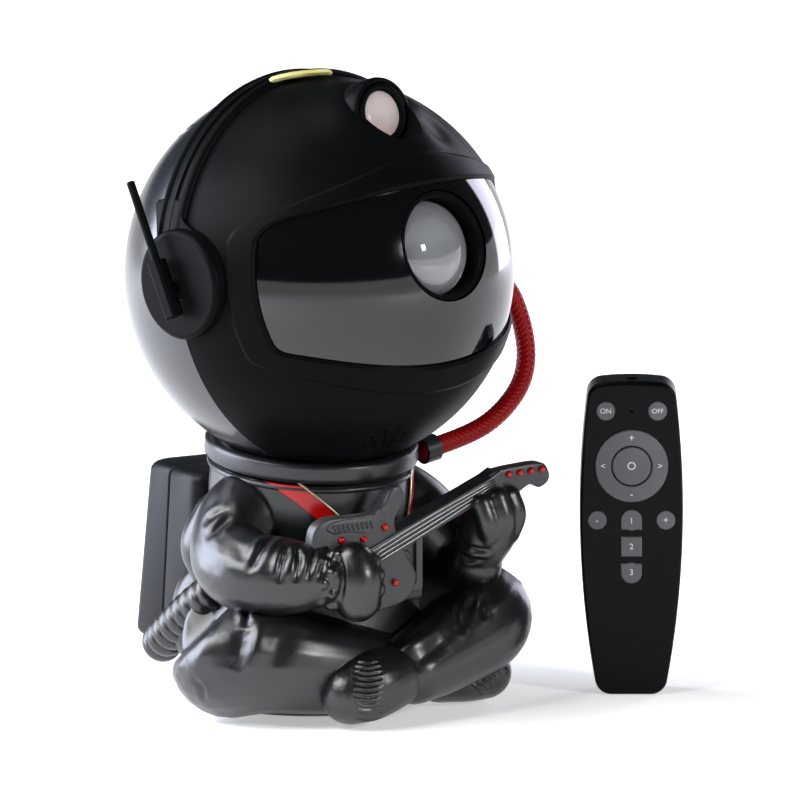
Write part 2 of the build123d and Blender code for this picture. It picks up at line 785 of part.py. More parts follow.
# ---- collar and hose ----
def make_collar():
    seat = helmet_radius + seat_gap + fit_gap

    def seat_at(radius):
        return head_height - sqrt(seat ** 2 - radius ** 2)

    lip = sqrt(seat ** 2 - (head_height - collar_top) ** 2)
    middle = (lip + collar_lip) / 2
    bore = spigot_radius + fit_gap
    ledge = spigot_top + fit_gap
    rim = collar_radius - collar_chamfer
    with BuildPart() as collar:
        with BuildSketch(within(neck_frame, Plane.XZ)):
            with BuildLine():
                Polyline((lip, collar_top), (rim, collar_top), (collar_radius, collar_top - collar_chamfer),
                         (collar_radius, collar_bottom + collar_chamfer), (rim, collar_bottom),
                         (bore, collar_bottom), (bore, ledge), (collar_lip, ledge),
                         (collar_lip, seat_at(collar_lip)))
                ThreePointArc((collar_lip, seat_at(collar_lip)), (middle, seat_at(middle)), (lip, collar_top))
            make_face()
        revolve(axis=Axis(neck_frame.origin, neck_frame.z_dir))
    keep(collar, "neck_collar")
    return collar.part


def hose_path():
    """Straight runs joined by arcs as large as the shorter run beside each allows."""
    points = [Vector(*point) for point in hose_route]
    radii = []
    for before, here, after in zip(points, points[1:], points[2:]):
        turn = (here - before).get_angle(after - here)
        shorter = min((here - before).length, (after - here).length)
        radii.append(hose_bend * shorter / (sin(radians(turn / 2)) / cos(radians(turn / 2))))
    print("hose bend radii", [round(radius, 1) for radius in radii])
    return FilletPolyline(*points, radius=radii)


def make_hose(collar):
    start = Vector(*hose_route[0])
    end = Vector(*hose_route[-1])
    run_in = (Vector(*hose_route[1]) - start).normalized()
    run_out = (end - Vector(*hose_route[-2])).normalized()
    with BuildPart() as ferrule:
        with BuildSketch(Plane(end - run_out * ferrule_length, z_dir=run_out)):
            Circle(hose_radius + easy_gap + ferrule_wall)
        extrude(amount=ferrule_length)
        add(collar, mode=Mode.SUBTRACT)
        with Locations(neck_frame):
            Cylinder(collar_radius - ferrule_bite, helmet_radius, mode=Mode.SUBTRACT)
        with BuildSketch(Plane(end - run_out * ferrule_length, z_dir=run_out)):
            Circle(hose_radius + easy_gap)
        extrude(amount=ferrule_length * 2, mode=Mode.SUBTRACT)
    keep(ferrule, "hose_ferrule")
    with BuildPart() as hose:
        with BuildLine() as route:
            hose_path()
        with BuildSketch(Plane(start, z_dir=run_in)):
            Circle(hose_radius)
        sweep(path=route.line)
        holes(within(head_frame, Plane.YZ.offset(hose_cut)), [(-ear_forward, ear_lift)], ear_radius,
              ear_face + seat_gap - hose_cut)
        with Locations(neck_frame):
            Cylinder(collar_radius + easy_gap, helmet_radius, mode=Mode.SUBTRACT)
    keep(hose, "red_hose")


# ---- torso ----
def revolved_torso(grow, bottom):
    """The solid of revolution inside the torso's outline, larger all round by grow."""
    outline = [(radius + grow, height) for radius, height in torso_outline]
    with BuildPart() as body:
        with BuildSketch(Plane.XZ):
            with BuildLine():
                top = outline[-1][1]
                Spline(*outline)
                Polyline(outline[-1], (0, top), (0, outline[0][1]), outline[0])
            make_face()
        revolve(axis=Axis.Z)
        split(bisect_by=Plane.XY.offset(bottom), keep=Keep.TOP)
    return body.part


def torso_solid():
    """The torso filled in, with its shoulders cut square to the neck."""
    barrel = revolved_torso(0, floor_gap)
    with BuildPart() as torso:
        add(barrel)
        split(bisect_by=neck_frame.offset(shoulder_height), keep=Keep.BOTTOM)
    return torso.part


def make_torso():
    cavity = revolved_torso(-torso_wall, floor_gap)
    spots = [polar(base_screw_ring, 45 + 90 * turn) for turn in range(4)]
    base_top = floor_gap + base_thickness
    with BuildPart() as hollow:
        add(cavity)
        split(bisect_by=neck_frame.offset(-torso_wall), keep=Keep.BOTTOM)
    with BuildPart() as pillars:
        with BuildSketch(Plane.XY.offset(base_top)):
            with Locations(*spots):
                Circle(base_boss_radius)
        extrude(amount=base_boss_height)
        add(torso_solid(), mode=Mode.INTERSECT)
    for side, node in ((Keep.TOP, "chest_shell"), (Keep.BOTTOM, "back_shell")):
        with BuildPart() as shell:
            add(torso_solid())
            with BuildSketch(neck_frame):
                Circle(spigot_radius)
            extrude(amount=spigot_top)
            with BuildSketch(neck_frame):
                Circle(magnet_well)
            extrude(amount=spigot_top + easy_gap, mode=Mode.SUBTRACT)
            add(hollow.part, mode=Mode.SUBTRACT)
            add(pillars.part)
            holes(Plane.XY.offset(base_top), spots, screw_radius + fit_gap, screw_length)
            split(bisect_by=Plane.XZ, keep=side)
        keep(shell, node)
    with BuildPart() as magnet:
        with BuildSketch(neck_frame):
            Circle(magnet_radius)
        extrude(amount=magnet_thickness)
    keep(magnet, "neck_magnet")

    base_radius = torso_outline[0][0] - torso_wall - easy_gap
    recess = floor_gap + screw_head_height + head_recess
    with BuildPart() as base:
        with BuildSketch(Plane.XY.offset(floor_gap)):
            Circle(base_radius)
            with Locations(*spots):
                Circle(screw_radius + easy_gap, mode=Mode.SUBTRACT)
        extrude(amount=base_thickness)
        holes(Plane.XY.offset(floor_gap), spots, screw_head_radius + easy_gap, recess - floor_gap)
    keep(base, "base_plate")
    with BuildPart() as screws:
        with BuildSketch(Plane.XY.offset(recess)):
            with Locations(*spots):
                Circle(screw_head_radius)
        extrude(amount=-screw_head_height)
        with BuildSketch(Plane.XY.offset(recess)):
            with Locations(*spots):
                Circle(screw_radius)
        extrude(amount=screw_length)
    keep(screws, "base_screws")
    with BuildPart() as feet:
        with BuildSketch():
            Circle(foot_radius)
            with PolarLocations(foot_ring, 4):
                Circle(foot_radius)
        extrude(amount=floor_gap)
    keep(feet, "rubber_feet")


# ---- limbs ----
def round_cone(start, start_radius, end, end_radius):
    """The smooth solid between two balls, revolved about the line through them."""
    here = Vector(*start)
    axis = Vector(*end) - here
    length = axis.length
    flare = asin((start_radius - end_radius) / length)
    side = axis.cross(Vector(0, 0, 1)) if abs(axis.normalized().Z) < 0.9 else axis.cross(Vector(1, 0, 0))
    profile = Plane(here, x_dir=axis, z_dir=side)

    def on_ball(centre, radius, angle):
        return (centre + radius * cos(angle), radius * sin(angle))

    touch = pi / 2 - flare
    with BuildSketch(profile) as section:
        with BuildLine():
            ThreePointArc(on_ball(0, start_radius, pi), on_ball(0, start_radius, (pi + touch) / 2),
                          on_ball(0, start_radius, touch))
            Line(on_ball(0, start_radius, touch), on_ball(length, end_radius, touch))
            ThreePointArc(on_ball(length, end_radius, touch), on_ball(length, end_radius, touch / 2),
                          on_ball(length, end_radius, 0))
            Line(on_ball(length, end_radius, 0), on_ball(0, start_radius, pi))
        make_face()
    revolve(section.sketch, axis=Axis(here, axis))


def limb_solid(line):
    """The rounded lengths of one limb joined together."""
    with BuildPart() as limb:
        for (start, start_radius), (end, end_radius) in pairwise(line):
            round_cone(start, start_radius, end, end_radius * neck_of_limb)
    return limb.part


def make_limbs(torso, straps):
    taken = [torso, straps]
    limbs = (("right_leg", right_leg_line), ("left_leg", left_leg_line), ("right_boot", right_boot_line),
             ("left_boot", left_boot_line), ("right_arm", right_arm_line), ("left_arm", left_arm_line))
    solids = {}
    for node, line in limbs:
        outside = limb_solid(line)
        with BuildPart() as limb:
            add(outside)
            for neighbour in taken:
                add(neighbour, mode=Mode.SUBTRACT)
            split(bisect_by=Plane.XY.offset(floor_gap), keep=Keep.TOP)
        keep(limb, node)
        taken.append(outside)
        solids[node] = outside
    return solids


# ---- backpack ----
def pack_solid(shrink):
    """The tapered pack with rounded upright corners, smaller all round by shrink."""
    levels = ((pack_bottom + shrink, pack_half_bottom - shrink, pack_depth_bottom),
              (pack_top - shrink, pack_half_top - shrink, pack_depth_top))
    with BuildPart() as pack:
        for height, half, depth in levels:
            with BuildSketch(Plane.XY.offset(height)):
                with Locations((0, pack_front + depth / 2)):
                    RectangleRounded(2 * half, depth - 2 * shrink, pack_corner - shrink)
        loft()
        if not shrink:
            ends = pack.faces().sort_by(Axis.Z)
            fillet(ends[0].edges() + ends[-1].edges(), pack_edge)
    return pack.part


def make_backpack(torso):
    outside = pack_solid(0)
    inside = pack_solid(pack_wall)
    with BuildPart() as pods:
        for side in (-1, 1):
            round_cone((side * (pod_side + pod_splay), pod_back, pod_bottom), pod_radius,
                       (side * pod_side, pod_back, pod_top), pod_radius * 0.96)
    for side, node in ((Keep.TOP, "backpack_shell"), (Keep.BOTTOM, "backpack_cover")):
        with BuildPart() as shell:
            add(outside)
            if side == Keep.BOTTOM:
                add(pods.part)
            add(inside, mode=Mode.SUBTRACT)
            add(torso, mode=Mode.SUBTRACT)
            split(bisect_by=Plane.XZ.offset(-pack_seam), keep=side)
        keep(shell, node)
    return outside


def make_tube(pack, torso, leg):
    start = Vector(*tube_start)
    axis = Vector(*tube_end) - start
    pitch = axis.length / tube_rings
    with BuildPart() as tube:
        with BuildSketch(Plane(start, x_dir=axis, z_dir=axis.cross(Vector(0, 0, 1)))):
            with BuildLine():
                ridges = [(0, tube_core)]
                for ring in range(tube_rings):
                    ridges += [(pitch * (ring + 0.2), tube_ring), (pitch * (ring + 0.8), tube_ring),
                               (pitch * (ring + 1), tube_core)]
                Polyline((0, 0), *ridges, (axis.length, 0), close=True)
            make_face()
        revolve(axis=Axis(start, axis))
        for neighbour in (pack, torso, leg):
            add(neighbour, mode=Mode.SUBTRACT)
    keep(tube, "breathing_tube")


# ---- chest pieces ----
def make_straps():
    outside = revolved_torso(strap_thickness, floor_gap)
    inside = revolved_torso(fit_gap, floor_gap)
    with BuildPart() as straps:
        with BuildSketch(Plane.XZ):
            Polygon(*strap_right, align=None)
            Polygon(*strap_left, align=None)
        extrude(amount=2 * collar_radius)
        add(outside, mode=Mode.INTERSECT)
        add(inside, mode=Mode.SUBTRACT)
        split(bisect_by=neck_frame.offset(shoulder_height), keep=Keep.BOTTOM)
    keep(straps, "chest_straps")
    return straps.part


def make_control_box(torso, straps, limbs):
    height = box_top - box_bottom
    with BuildPart() as box:
        with BuildSketch(Plane.XZ):
            with Locations((0, box_bottom + height / 2)):
                Rectangle(2 * box_half_width, height)
        extrude(amount=box_front)
        chamfer(box.faces().sort_by(Axis.Y)[0].edges(), box_bevel)
        add(torso, mode=Mode.SUBTRACT)
        for neighbour in (straps, *limbs.values()):
            add(neighbour, mode=Mode.SUBTRACT)
    keep(box, "control_box")


guitar_neck = (cos(radians(guitar_angle)), 0, sin(radians(guitar_angle)))
guitar_face = Plane((guitar_centre[0], -guitar_front, guitar_centre[1]), x_dir=guitar_neck, z_dir=(0, -1, 0))


def make_guitar(limbs):
    with BuildPart() as guitar:
        with BuildSketch(guitar_face):
            with BuildLine():
                Spline(*guitar_body, periodic=True)
            make_face()
            Polygon((0, -neck_half_width), (neck_end, -neck_half_width), *guitar_head,
                    (neck_end, neck_half_width), (0, neck_half_width), align=None)
        extrude(amount=-guitar_thickness)
        for neighbour in limbs.values():
            add(neighbour, mode=Mode.SUBTRACT)
    keep(guitar, "guitar")
    tuner_step = (Vector(*last_tuner) - Vector(*first_tuner)) / 3
    tuners = [Vector(*first_tuner) + tuner_step * count for count in range(4)]
    with BuildPart() as studs:
        with BuildSketch(guitar_face):
            with Locations(*body_studs, *tuners):
                Circle(stud_radius)
        extrude(amount=stud_height)
        for neighbour in limbs.values():
            add(neighbour, mode=Mode.SUBTRACT)
    keep(studs, "guitar_studs")


# ---- remote ----
remote_frame = Plane(Location((*remote_place, 0), (0, 0, remote_turn)))
remote_face = within(remote_frame, Plane.XZ.offset(remote_depth / 2))


def remote_layer(depth):
    """A plane of the remote, facing its keys, at a depth behind its face."""
    return remote_face.offset(-depth)


def remote_outline(shrink):
    """The remote seen from its keys, smaller all round by shrink."""
    with BuildSketch(remote_face) as outline:
        with BuildLine():
            right = ((remote_half_bottom, 0), (remote_half_wide, remote_wide_height),
                     (remote_half_top, remote_height))
            left = [(-x, z) for x, z in right]
            ThreePointArc(*right)
            ThreePointArc(right[2], (0, remote_height + remote_crown), left[2])
            ThreePointArc(left[2], left[1], left[0])
            Line(left[0], right[0])
        make_face()
        fillet(outline.vertices(), remote_corner)
        if shrink:
            offset(amount=-shrink)
    return outline.sketch


def domed_key(extra, up):
    """A key face with one straight and one round end; up is 1 or -1."""
    half = square_width / 2 + extra
    foot = square_height / 2 + extra
    spring = square_height / 2 - square_width / 2
    with Locations((0, up * spring)):
        Circle(half)
    with Locations((0, up * (spring - foot) / 2)):
        Rectangle(2 * half, foot + spring)


def square_face(extra):
    Rectangle(square_width + 2 * extra, square_height + 2 * extra)


def small_face(extra):
    Circle(key_small + extra)


def ring_face(extra):
    Circle(ring_outer + extra)
    Circle(ring_inner, mode=Mode.SUBTRACT)


# each key's node, its place on the face and the function that draws it
remote_keys = (
    ("key_on", (-on_spread, on_height), small_face),
    ("key_off", (on_spread, on_height), small_face),
    ("key_ring", (0, ring_height), ring_face),
    ("key_laser_down", (-laser_key_spread, laser_key_height), small_face),
    ("key_laser_up", (laser_key_spread, laser_key_height), small_face),
    ("key_mode", (0, mode_key_height), lambda extra: domed_key(extra, 1)),
    ("key_square", (0, square_key_height), square_face),
    ("key_round", (0, round_key_height), lambda extra: domed_key(extra, -1)),
)
flange_depth = remote_wall + easy_gap
key_back = flange_depth + key_flange_thickness
board_depth = key_back + key_travel + easy_gap
board_back = board_depth + remote_board_thickness
emitter_depth = board_back + emitter_radius


def make_remote_cases():
    half = remote_depth / 2
    plan = remote_outline(0)
    room = remote_outline(remote_wall)
    towards_back = Axis(remote_frame.origin, remote_frame.y_dir)
    door_middle = (0, (door_bottom + door_top) / 2)
    board_posts = [(x, z) for x in (-board_post_spread, board_post_spread) for z in board_post_heights]
    with BuildPart() as top:
        extrude(plan, amount=-half)
        fillet(top.faces().sort_by(towards_back)[0].edges(), remote_edge)
        extrude(room.moved(Location(remote_frame.y_dir * remote_wall)), amount=-half, mode=Mode.SUBTRACT)
        with BuildSketch(remote_face):
            for node, place, draw in remote_keys:
                with Locations(place):
                    draw(key_gap)
            with Locations((0, ring_height)):
                Circle(ring_outer)
            with Locations((0, on_height)):
                Circle(light_pipe + easy_gap)
        extrude(amount=-2 * remote_wall, mode=Mode.SUBTRACT)
        holes(within(remote_frame, Plane.XY.offset(remote_height / 2)), [(0, emitter_depth - half)],
              emitter_radius + easy_gap, remote_height)
    keep(top, "remote_top")

    with BuildPart() as bottom:
        extrude(plan.moved(Location(remote_frame.y_dir * half)), amount=-half)
        fillet(bottom.faces().sort_by(towards_back)[-1].edges(), remote_edge)
        extrude(room.moved(Location(remote_frame.y_dir * half)), amount=remote_wall - half,
                mode=Mode.SUBTRACT)
        with BuildSketch(remote_layer(remote_depth - remote_wall)):
            with Locations(*board_posts):
                Circle(board_post_radius)
            with Locations((0, battery_top + battery_gap + remote_wall / 2)):
                Rectangle(2 * remote_half_top, remote_wall)
        extrude(amount=remote_depth - remote_wall - board_back)
        with BuildSketch(remote_layer(remote_depth / 2)):
            with Locations(door_middle):
                RectangleRounded(2 * (door_half_width + door_gap), door_top - door_bottom + 2 * door_gap,
                                 door_corner)
        extrude(amount=-remote_depth, mode=Mode.SUBTRACT)
    keep(bottom, "remote_bottom")

    with BuildPart() as door:
        with BuildSketch(remote_layer(remote_depth)):
            with Locations(door_middle):
                RectangleRounded(2 * door_half_width, door_top - door_bottom, door_corner)
        extrude(amount=remote_wall)
        with BuildSketch(remote_layer(remote_depth)):
            with Locations((0, door_top - 3 * door_corner)):
                SlotOverall(door_half_width, door_corner)
        extrude(amount=remote_wall / 2, mode=Mode.SUBTRACT)
    keep(door, "battery_door")


def make_remote_inside():
    room = remote_outline(remote_wall + seat_gap)
    with BuildPart() as board:
        extrude(room.moved(Location(remote_frame.y_dir * board_depth)), amount=-remote_board_thickness)
        split(bisect_by=within(remote_frame, Plane.XY.offset(board_bottom)), keep=Keep.TOP)
        with BuildSketch(within(remote_frame, Plane.XY.offset(remote_height - emitter_length))):
            with Locations((0, emitter_depth - remote_depth / 2)):
                Circle(emitter_radius)
        extrude(amount=emitter_length)
        with BuildSketch(remote_layer(board_depth)):
            with Locations((0, on_height)):
                Circle(light_pipe)
        extrude(amount=board_depth - remote_wall / 2)
    keep(board, "remote_board")

    battery_depth = remote_depth - remote_wall - battery_gap - battery_radius
    with BuildPart() as batteries:
        with BuildSketch(within(remote_frame, Plane.XY.offset(battery_bottom))):
            with GridLocations(2 * battery_radius + battery_gap, 0, 2, 1):
                with Locations((0, battery_depth - remote_depth / 2)):
                    Circle(battery_radius)
        extrude(amount=battery_length)
    keep(batteries, "batteries")


def make_keys():
    with BuildPart() as centre:
        with BuildSketch(remote_layer(key_back)):
            with Locations((0, ring_height)):
                Circle(centre_key)
        extrude(amount=key_back + key_proud)
        fillet(centre.faces().sort_by(Axis(remote_frame.origin, remote_frame.y_dir))[0].edges(), key_round)
    keep(centre, "key_centre")
    for node, place, draw in remote_keys:
        with BuildPart() as key:
            with BuildSketch(remote_layer(key_back)):
                with Locations(place):
                    draw(0)
            extrude(amount=key_back + key_proud)
            fillet(key.faces().sort_by(Axis(remote_frame.origin, remote_frame.y_dir))[0].edges(), key_round)
            with BuildSketch(remote_layer(key_back)):
                with Locations(place):
                    draw(key_flange)
            extrude(amount=key_flange_thickness)
        keep(key, node)


if __name__ == "__main__":
    make_helmet_front()
    make_helmet_back()
    make_visor()
    make_helmet_screws()
    make_headband()
    make_ear_cup(-1, "right_ear_cup")
    make_ear_cup(1, "left_ear_cup")
    make_antenna()
    make_lens()
    make_wheel_drive()
    make_light_unit()
    make_laser()
    make_helmet_fittings()
    collar = make_collar()
    make_hose(collar)
    torso = torso_solid()
    make_torso()
    straps = make_straps()
    limbs = make_limbs(torso, straps)
    pack = make_backpack(torso)
    make_tube(pack, torso, limbs["right_leg"])
    make_control_box(torso, straps, limbs)
    make_guitar(limbs)
    make_remote_cases()
    make_remote_inside()
    make_keys()
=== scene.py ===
import bpy
import bmesh
import json
from math import cos, pi, radians, sin
import numpy as np
from mathutils import Matrix, Vector
from mathutils.bvhtree import BVHTree


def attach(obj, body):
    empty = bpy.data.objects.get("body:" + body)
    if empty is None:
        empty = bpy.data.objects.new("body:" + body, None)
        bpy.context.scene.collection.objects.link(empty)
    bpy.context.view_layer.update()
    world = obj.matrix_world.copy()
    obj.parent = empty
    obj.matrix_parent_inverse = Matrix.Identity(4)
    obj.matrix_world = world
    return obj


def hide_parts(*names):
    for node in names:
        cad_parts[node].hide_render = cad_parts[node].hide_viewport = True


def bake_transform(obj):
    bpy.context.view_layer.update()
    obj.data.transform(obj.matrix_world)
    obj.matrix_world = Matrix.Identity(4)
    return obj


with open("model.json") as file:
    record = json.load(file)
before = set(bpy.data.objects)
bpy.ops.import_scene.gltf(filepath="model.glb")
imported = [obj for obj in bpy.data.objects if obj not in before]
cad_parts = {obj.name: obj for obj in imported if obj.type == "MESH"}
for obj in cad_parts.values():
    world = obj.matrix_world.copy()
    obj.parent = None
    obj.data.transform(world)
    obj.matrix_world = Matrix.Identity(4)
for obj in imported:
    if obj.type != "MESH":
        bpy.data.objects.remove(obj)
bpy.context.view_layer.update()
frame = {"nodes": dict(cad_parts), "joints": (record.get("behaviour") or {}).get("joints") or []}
nodes = frame["nodes"]
joints = {joint["name"]: joint for joint in frame["joints"]}
mm = 0.001
print("frame loaded:", len(nodes), "nodes")

camera = {
    "azimuth": -30, "elevation": 10, "distance": 7000 * mm,
    "pixel": 0.3585 * mm,          # width of one pixel at the figure
    "floorPixel": (310.5, 699.0),  # where the middle of the figure's base shows
    "frame": 800, "sensor": 36, "clip": (0.1, 20),
}


def viewAxes():
    turn, rise = radians(-camera["azimuth"]), radians(camera["elevation"])
    right = Vector((cos(turn), -sin(turn), 0))
    back = Vector((-sin(turn) * cos(rise), -cos(turn) * cos(rise), sin(rise)))
    return right, back.cross(right), back


viewRight, viewUp, viewBack = viewAxes()
frameHalf = camera["frame"] / 2
aim = viewRight * (frameHalf - camera["floorPixel"][0]) * camera["pixel"]
aim += viewUp * (camera["floorPixel"][1] - frameHalf) * camera["pixel"]
eye = aim + viewBack * camera["distance"]
focalPixels = camera["distance"] / camera["pixel"]


def placed(name, data):
    made = bpy.data.objects.new(name, data)
    bpy.context.scene.collection.objects.link(made)
    return made


def circle(count):
    return [(cos(2 * pi * k / count), sin(2 * pi * k / count)) for k in range(count)]


def makeCamera():
    data = bpy.data.cameras.new("camera")
    data.sensor_width = camera["sensor"]
    data.lens = camera["sensor"] * focalPixels / camera["frame"]
    data.clip_start, data.clip_end = camera["clip"]
    made = placed("camera", data)
    turned = Matrix((viewRight, viewUp, viewBack)).transposed().to_4x4()
    made.matrix_world = Matrix.Translation(eye) @ turned
    bpy.context.scene.camera = made


def pixelRay(place):
    u, v = place
    across = viewRight * (u - frameHalf) - viewUp * (v - frameHalf)
    return (across - viewBack * focalPixels).normalized()


makeCamera()
print("camera set")


def toLinear(code):
    parts = [int(code[i:i + 2], 16) / 255 for i in (1, 3, 5)]
    return (*[c / 12.92 if c <= 0.04045 else ((c + 0.055) / 1.055) ** 2.4 for c in parts], 1)


def addNode(tree, kind, settings=None, links=None):
    node = tree.nodes.new(kind)
    for name, value in (settings or {}).items():
        if isinstance(name, int) or name in node.inputs:
            node.inputs[name].default_value = value
        else:
            setattr(node, name, value)
    for name, socket in (links or {}).items():
        tree.links.new(socket, node.inputs[name])
    return node


def newMaterial(name, settings):
    material = bpy.data.materials.new(name)
    material.use_nodes = True
    tree = material.node_tree
    tree.nodes.clear()
    shader = addNode(tree, "ShaderNodeBsdfPrincipled", settings)
    addNode(tree, "ShaderNodeOutputMaterial", links={"Surface": shader.outputs[0]})
    return material, tree, shader


def spots(tree, size, detail=2):
    # soft random spots, their size in mm
    place = addNode(tree, "ShaderNodeTexCoord").outputs["Object"]
    settings = {"Scale": 1 / (size * mm), "Detail": detail}
    return addNode(tree, "ShaderNodeTexNoise", settings, {"Vector": place}).outputs["Fac"]


def setGloss(tree, shader, factor, low, high):
    gloss = addNode(tree, "ShaderNodeMapRange", {"To Min": low, "To Max": high}, {"Value": factor})
    tree.links.new(gloss.outputs["Result"], shader.inputs["Roughness"])


def setColours(tree, shader, factor, colours, ends=(0, 1)):
    ramp = addNode(tree, "ShaderNodeValToRGB", links={"Fac": factor})
    for element, colour, end in zip(ramp.color_ramp.elements, colours, ends):
        element.color, element.position = toLinear(colour), end
    tree.links.new(ramp.outputs["Color"], shader.inputs["Base Color"])


mould = {"drift": 22, "colourEnds": (0.3, 0.7), "glossSpread": 0.12, "bump": 0.6}


def mouldedPlastic(name, colours, roughness, grain, relief, settings=None):
    # grain is the texture of the mould in mm, relief its depth in mm; the colour drifts very slightly
    material, tree, shader = newMaterial(name, settings or {})
    drift, fine = spots(tree, mould["drift"], 3), spots(tree, grain)
    setColours(tree, shader, drift, colours, mould["colourEnds"])
    spread = roughness * mould["glossSpread"]
    setGloss(tree, shader, drift, roughness - spread, roughness + spread)
    bump = addNode(tree, "ShaderNodeBump", {"Strength": mould["bump"], "Distance": relief * mm},
                   {"Height": fine})
    tree.links.new(bump.outputs["Normal"], shader.inputs["Normal"])
    return material


# matt-coated ABS: the coat swallows light, so the front of the helmet stays black with a broad soft sheen
softTouchAbs = mouldedPlastic("softTouchAbs", ("#070809", "#0b0c0d"), 0.42, 0.35, 0.008,
                              {"Specular IOR Level": 0.035})
# polished ABS from a mirror mould: mirrors the room, only slightly blurred
polishedAbs = mouldedPlastic("polishedAbs", ("#0e1013", "#13161a"), 0.22, 0.8, 0.003,
                             {"Specular IOR Level": 0.8})
# PVC skin, sprayed with black satin lacquer over its folds: long bright streaks on every fold
lacqueredVinyl = mouldedPlastic("lacqueredVinyl", ("#07080a", "#0b0c0f"), 0.34, 0.9, 0.010,
                                {"Specular IOR Level": 0.75})
# graphite paint on ABS: a shade lighter than the suit, satin
graphitePaint = mouldedPlastic("graphitePaint", ("#1d1e21", "#242529"), 0.34, 0.5, 0.012,
                               {"Specular IOR Level": 0.5})
# charcoal paint of the pack, duller than the collar's
charcoalPaint = mouldedPlastic("charcoalPaint", ("#0e0f12", "#141518"), 0.38, 0.5, 0.012,
                               {"Specular IOR Level": 0.12})
# pewter-coloured paint with fine grit in it, on the guitar and the panel
pewterPaint = mouldedPlastic("pewterPaint", ("#2f3032", "#3a3b3d"), 0.38, 0.45, 0.03)
# satin grey paint of the chest plate
chestPaint = mouldedPlastic("chestPaint", ("#2c2d2f", "#3a3b3d"), 0.30, 1.4, 0.03)
# glass-reinforced nylon and ABS of the pieces inside
naturalNylon = mouldedPlastic("naturalNylon", ("#8d8d88", "#999992"), 0.48, 0.6, 0.01)
# red enamel: deep and wet-looking
redEnamel = mouldedPlastic("redEnamel", ("#b00503", "#c20a07"), 0.24, 0.7, 0.006)
# nitrile rubber pads
nitrileRubber = mouldedPlastic("nitrileRubber", ("#17171a", "#1c1c1f"), 0.75, 0.3, 0.02)
# silicone rubber keys: dull and slightly waxy
siliconeRubber = mouldedPlastic("siliconeRubber", ("#626365", "#6b6c6e"), 0.55, 0.4, 0.01,
                                {"Specular IOR Level": 0.2})
# spark-eroded ABS of the remote: fine even texture
sparkedAbs = mouldedPlastic("sparkedAbs", ("#050607", "#08090b"), 0.34, 0.28, 0.010,
                            {"Specular IOR Level": 0.1})
# pad-printed ink
printInk = mouldedPlastic("printInk", ("#e6e7e9", "#f0f1f3"), 0.6, 0.3, 0.005)
# yellow lacquer, faded unevenly, of the stripe along the band
yellowLacquer = mouldedPlastic("yellowLacquer", ("#b8a312", "#e9e9b0"), 0.35, 0.4, 0.005)
# champagne-coloured plating of the piping
paleGilt = mouldedPlastic("paleGilt", ("#b9ab86", "#d8cda9"), 0.3, 0.4, 0.004, {"Metallic": 0.6})
# solder mask on glass-fibre board
solderMask = mouldedPlastic("solderMask", ("#0d4526", "#11522e"), 0.35, 1.2, 0.01)
# printed shrink sleeve of a cell
cellSleeve = mouldedPlastic("cellSleeve", ("#123f73", "#18508f"), 0.3, 1.0, 0.005)


def platedMetal(name, colour, roughness, grain):
    # brushed or turned metal: streaks of roughness along one way
    material, tree, shader = newMaterial(name, {"Metallic": 1.0, "Base Color": toLinear(colour)})
    place = addNode(tree, "ShaderNodeTexCoord").outputs["Object"]
    stretch = addNode(tree, "ShaderNodeMapping", {"Scale": (1, 1, 12)}, {"Vector": place})
    streaks = addNode(tree, "ShaderNodeTexNoise", {"Scale": 1 / (grain * mm), "Detail": 3},
                      {"Vector": stretch.outputs[0]})
    setGloss(tree, shader, streaks.outputs["Fac"], roughness * 0.7, roughness * 1.3)
    return material


# zinc-plated steel of screws, plates and cans
zincPlate = platedMetal("zincPlate", "#a9abae", 0.32, 1.5)
# extruded aluminium of the heat sink
extrudedAluminium = platedMetal("extrudedAluminium", "#c3c5c8", 0.38, 2.0)

# smoked polycarbonate panel: almost black, mirror-smooth, so it shows floor and lamps
smokedPolycarbonate, tree, shader = newMaterial("smokedPolycarbonate", {
    "Base Color": toLinear("#040506"), "IOR": 1.585})
setGloss(tree, shader, spots(tree, 14), 0.05, 0.09)

# cast acrylic ball lens, with a trace of haze from handling
clearAcrylic, tree, shader = newMaterial("clearAcrylic", {
    "Base Color": toLinear("#d3d6da"), "Transmission Weight": 0.66, "IOR": 1.49,
    "Coat Weight": 1.0, "Coat Roughness": 0.03})
setGloss(tree, shader, spots(tree, 3, 4), 0.0, 0.03)

# opal acrylic over the star laser: milky with a pink cast
opalAcrylic, tree, shader = newMaterial("opalAcrylic", {
    "Subsurface Weight": 0.3, "Subsurface Scale": 2 * mm, "Coat Weight": 0.5})
setColours(tree, shader, spots(tree, 6), ("#e6cfcf", "#f3e9e6"))

# polyester braid: its colour is painted darker towards the gaps between strands as painted shade, and full
# red on the strand tops; "strand" is how high a point lies on one
braidedPolyester, tree, shader = newMaterial("braidedPolyester", {
    "Roughness": 0.45, "Specular IOR Level": 0.2})
strand = addNode(tree, "ShaderNodeAttribute", {"attribute_name": "strand"})
# painted shade: the deep red at low strand heights stands for the shade in the braid's gaps
setColours(tree, shader, strand.outputs["Fac"], ("#3a0103", "#9c0408"), (0, 0.6))

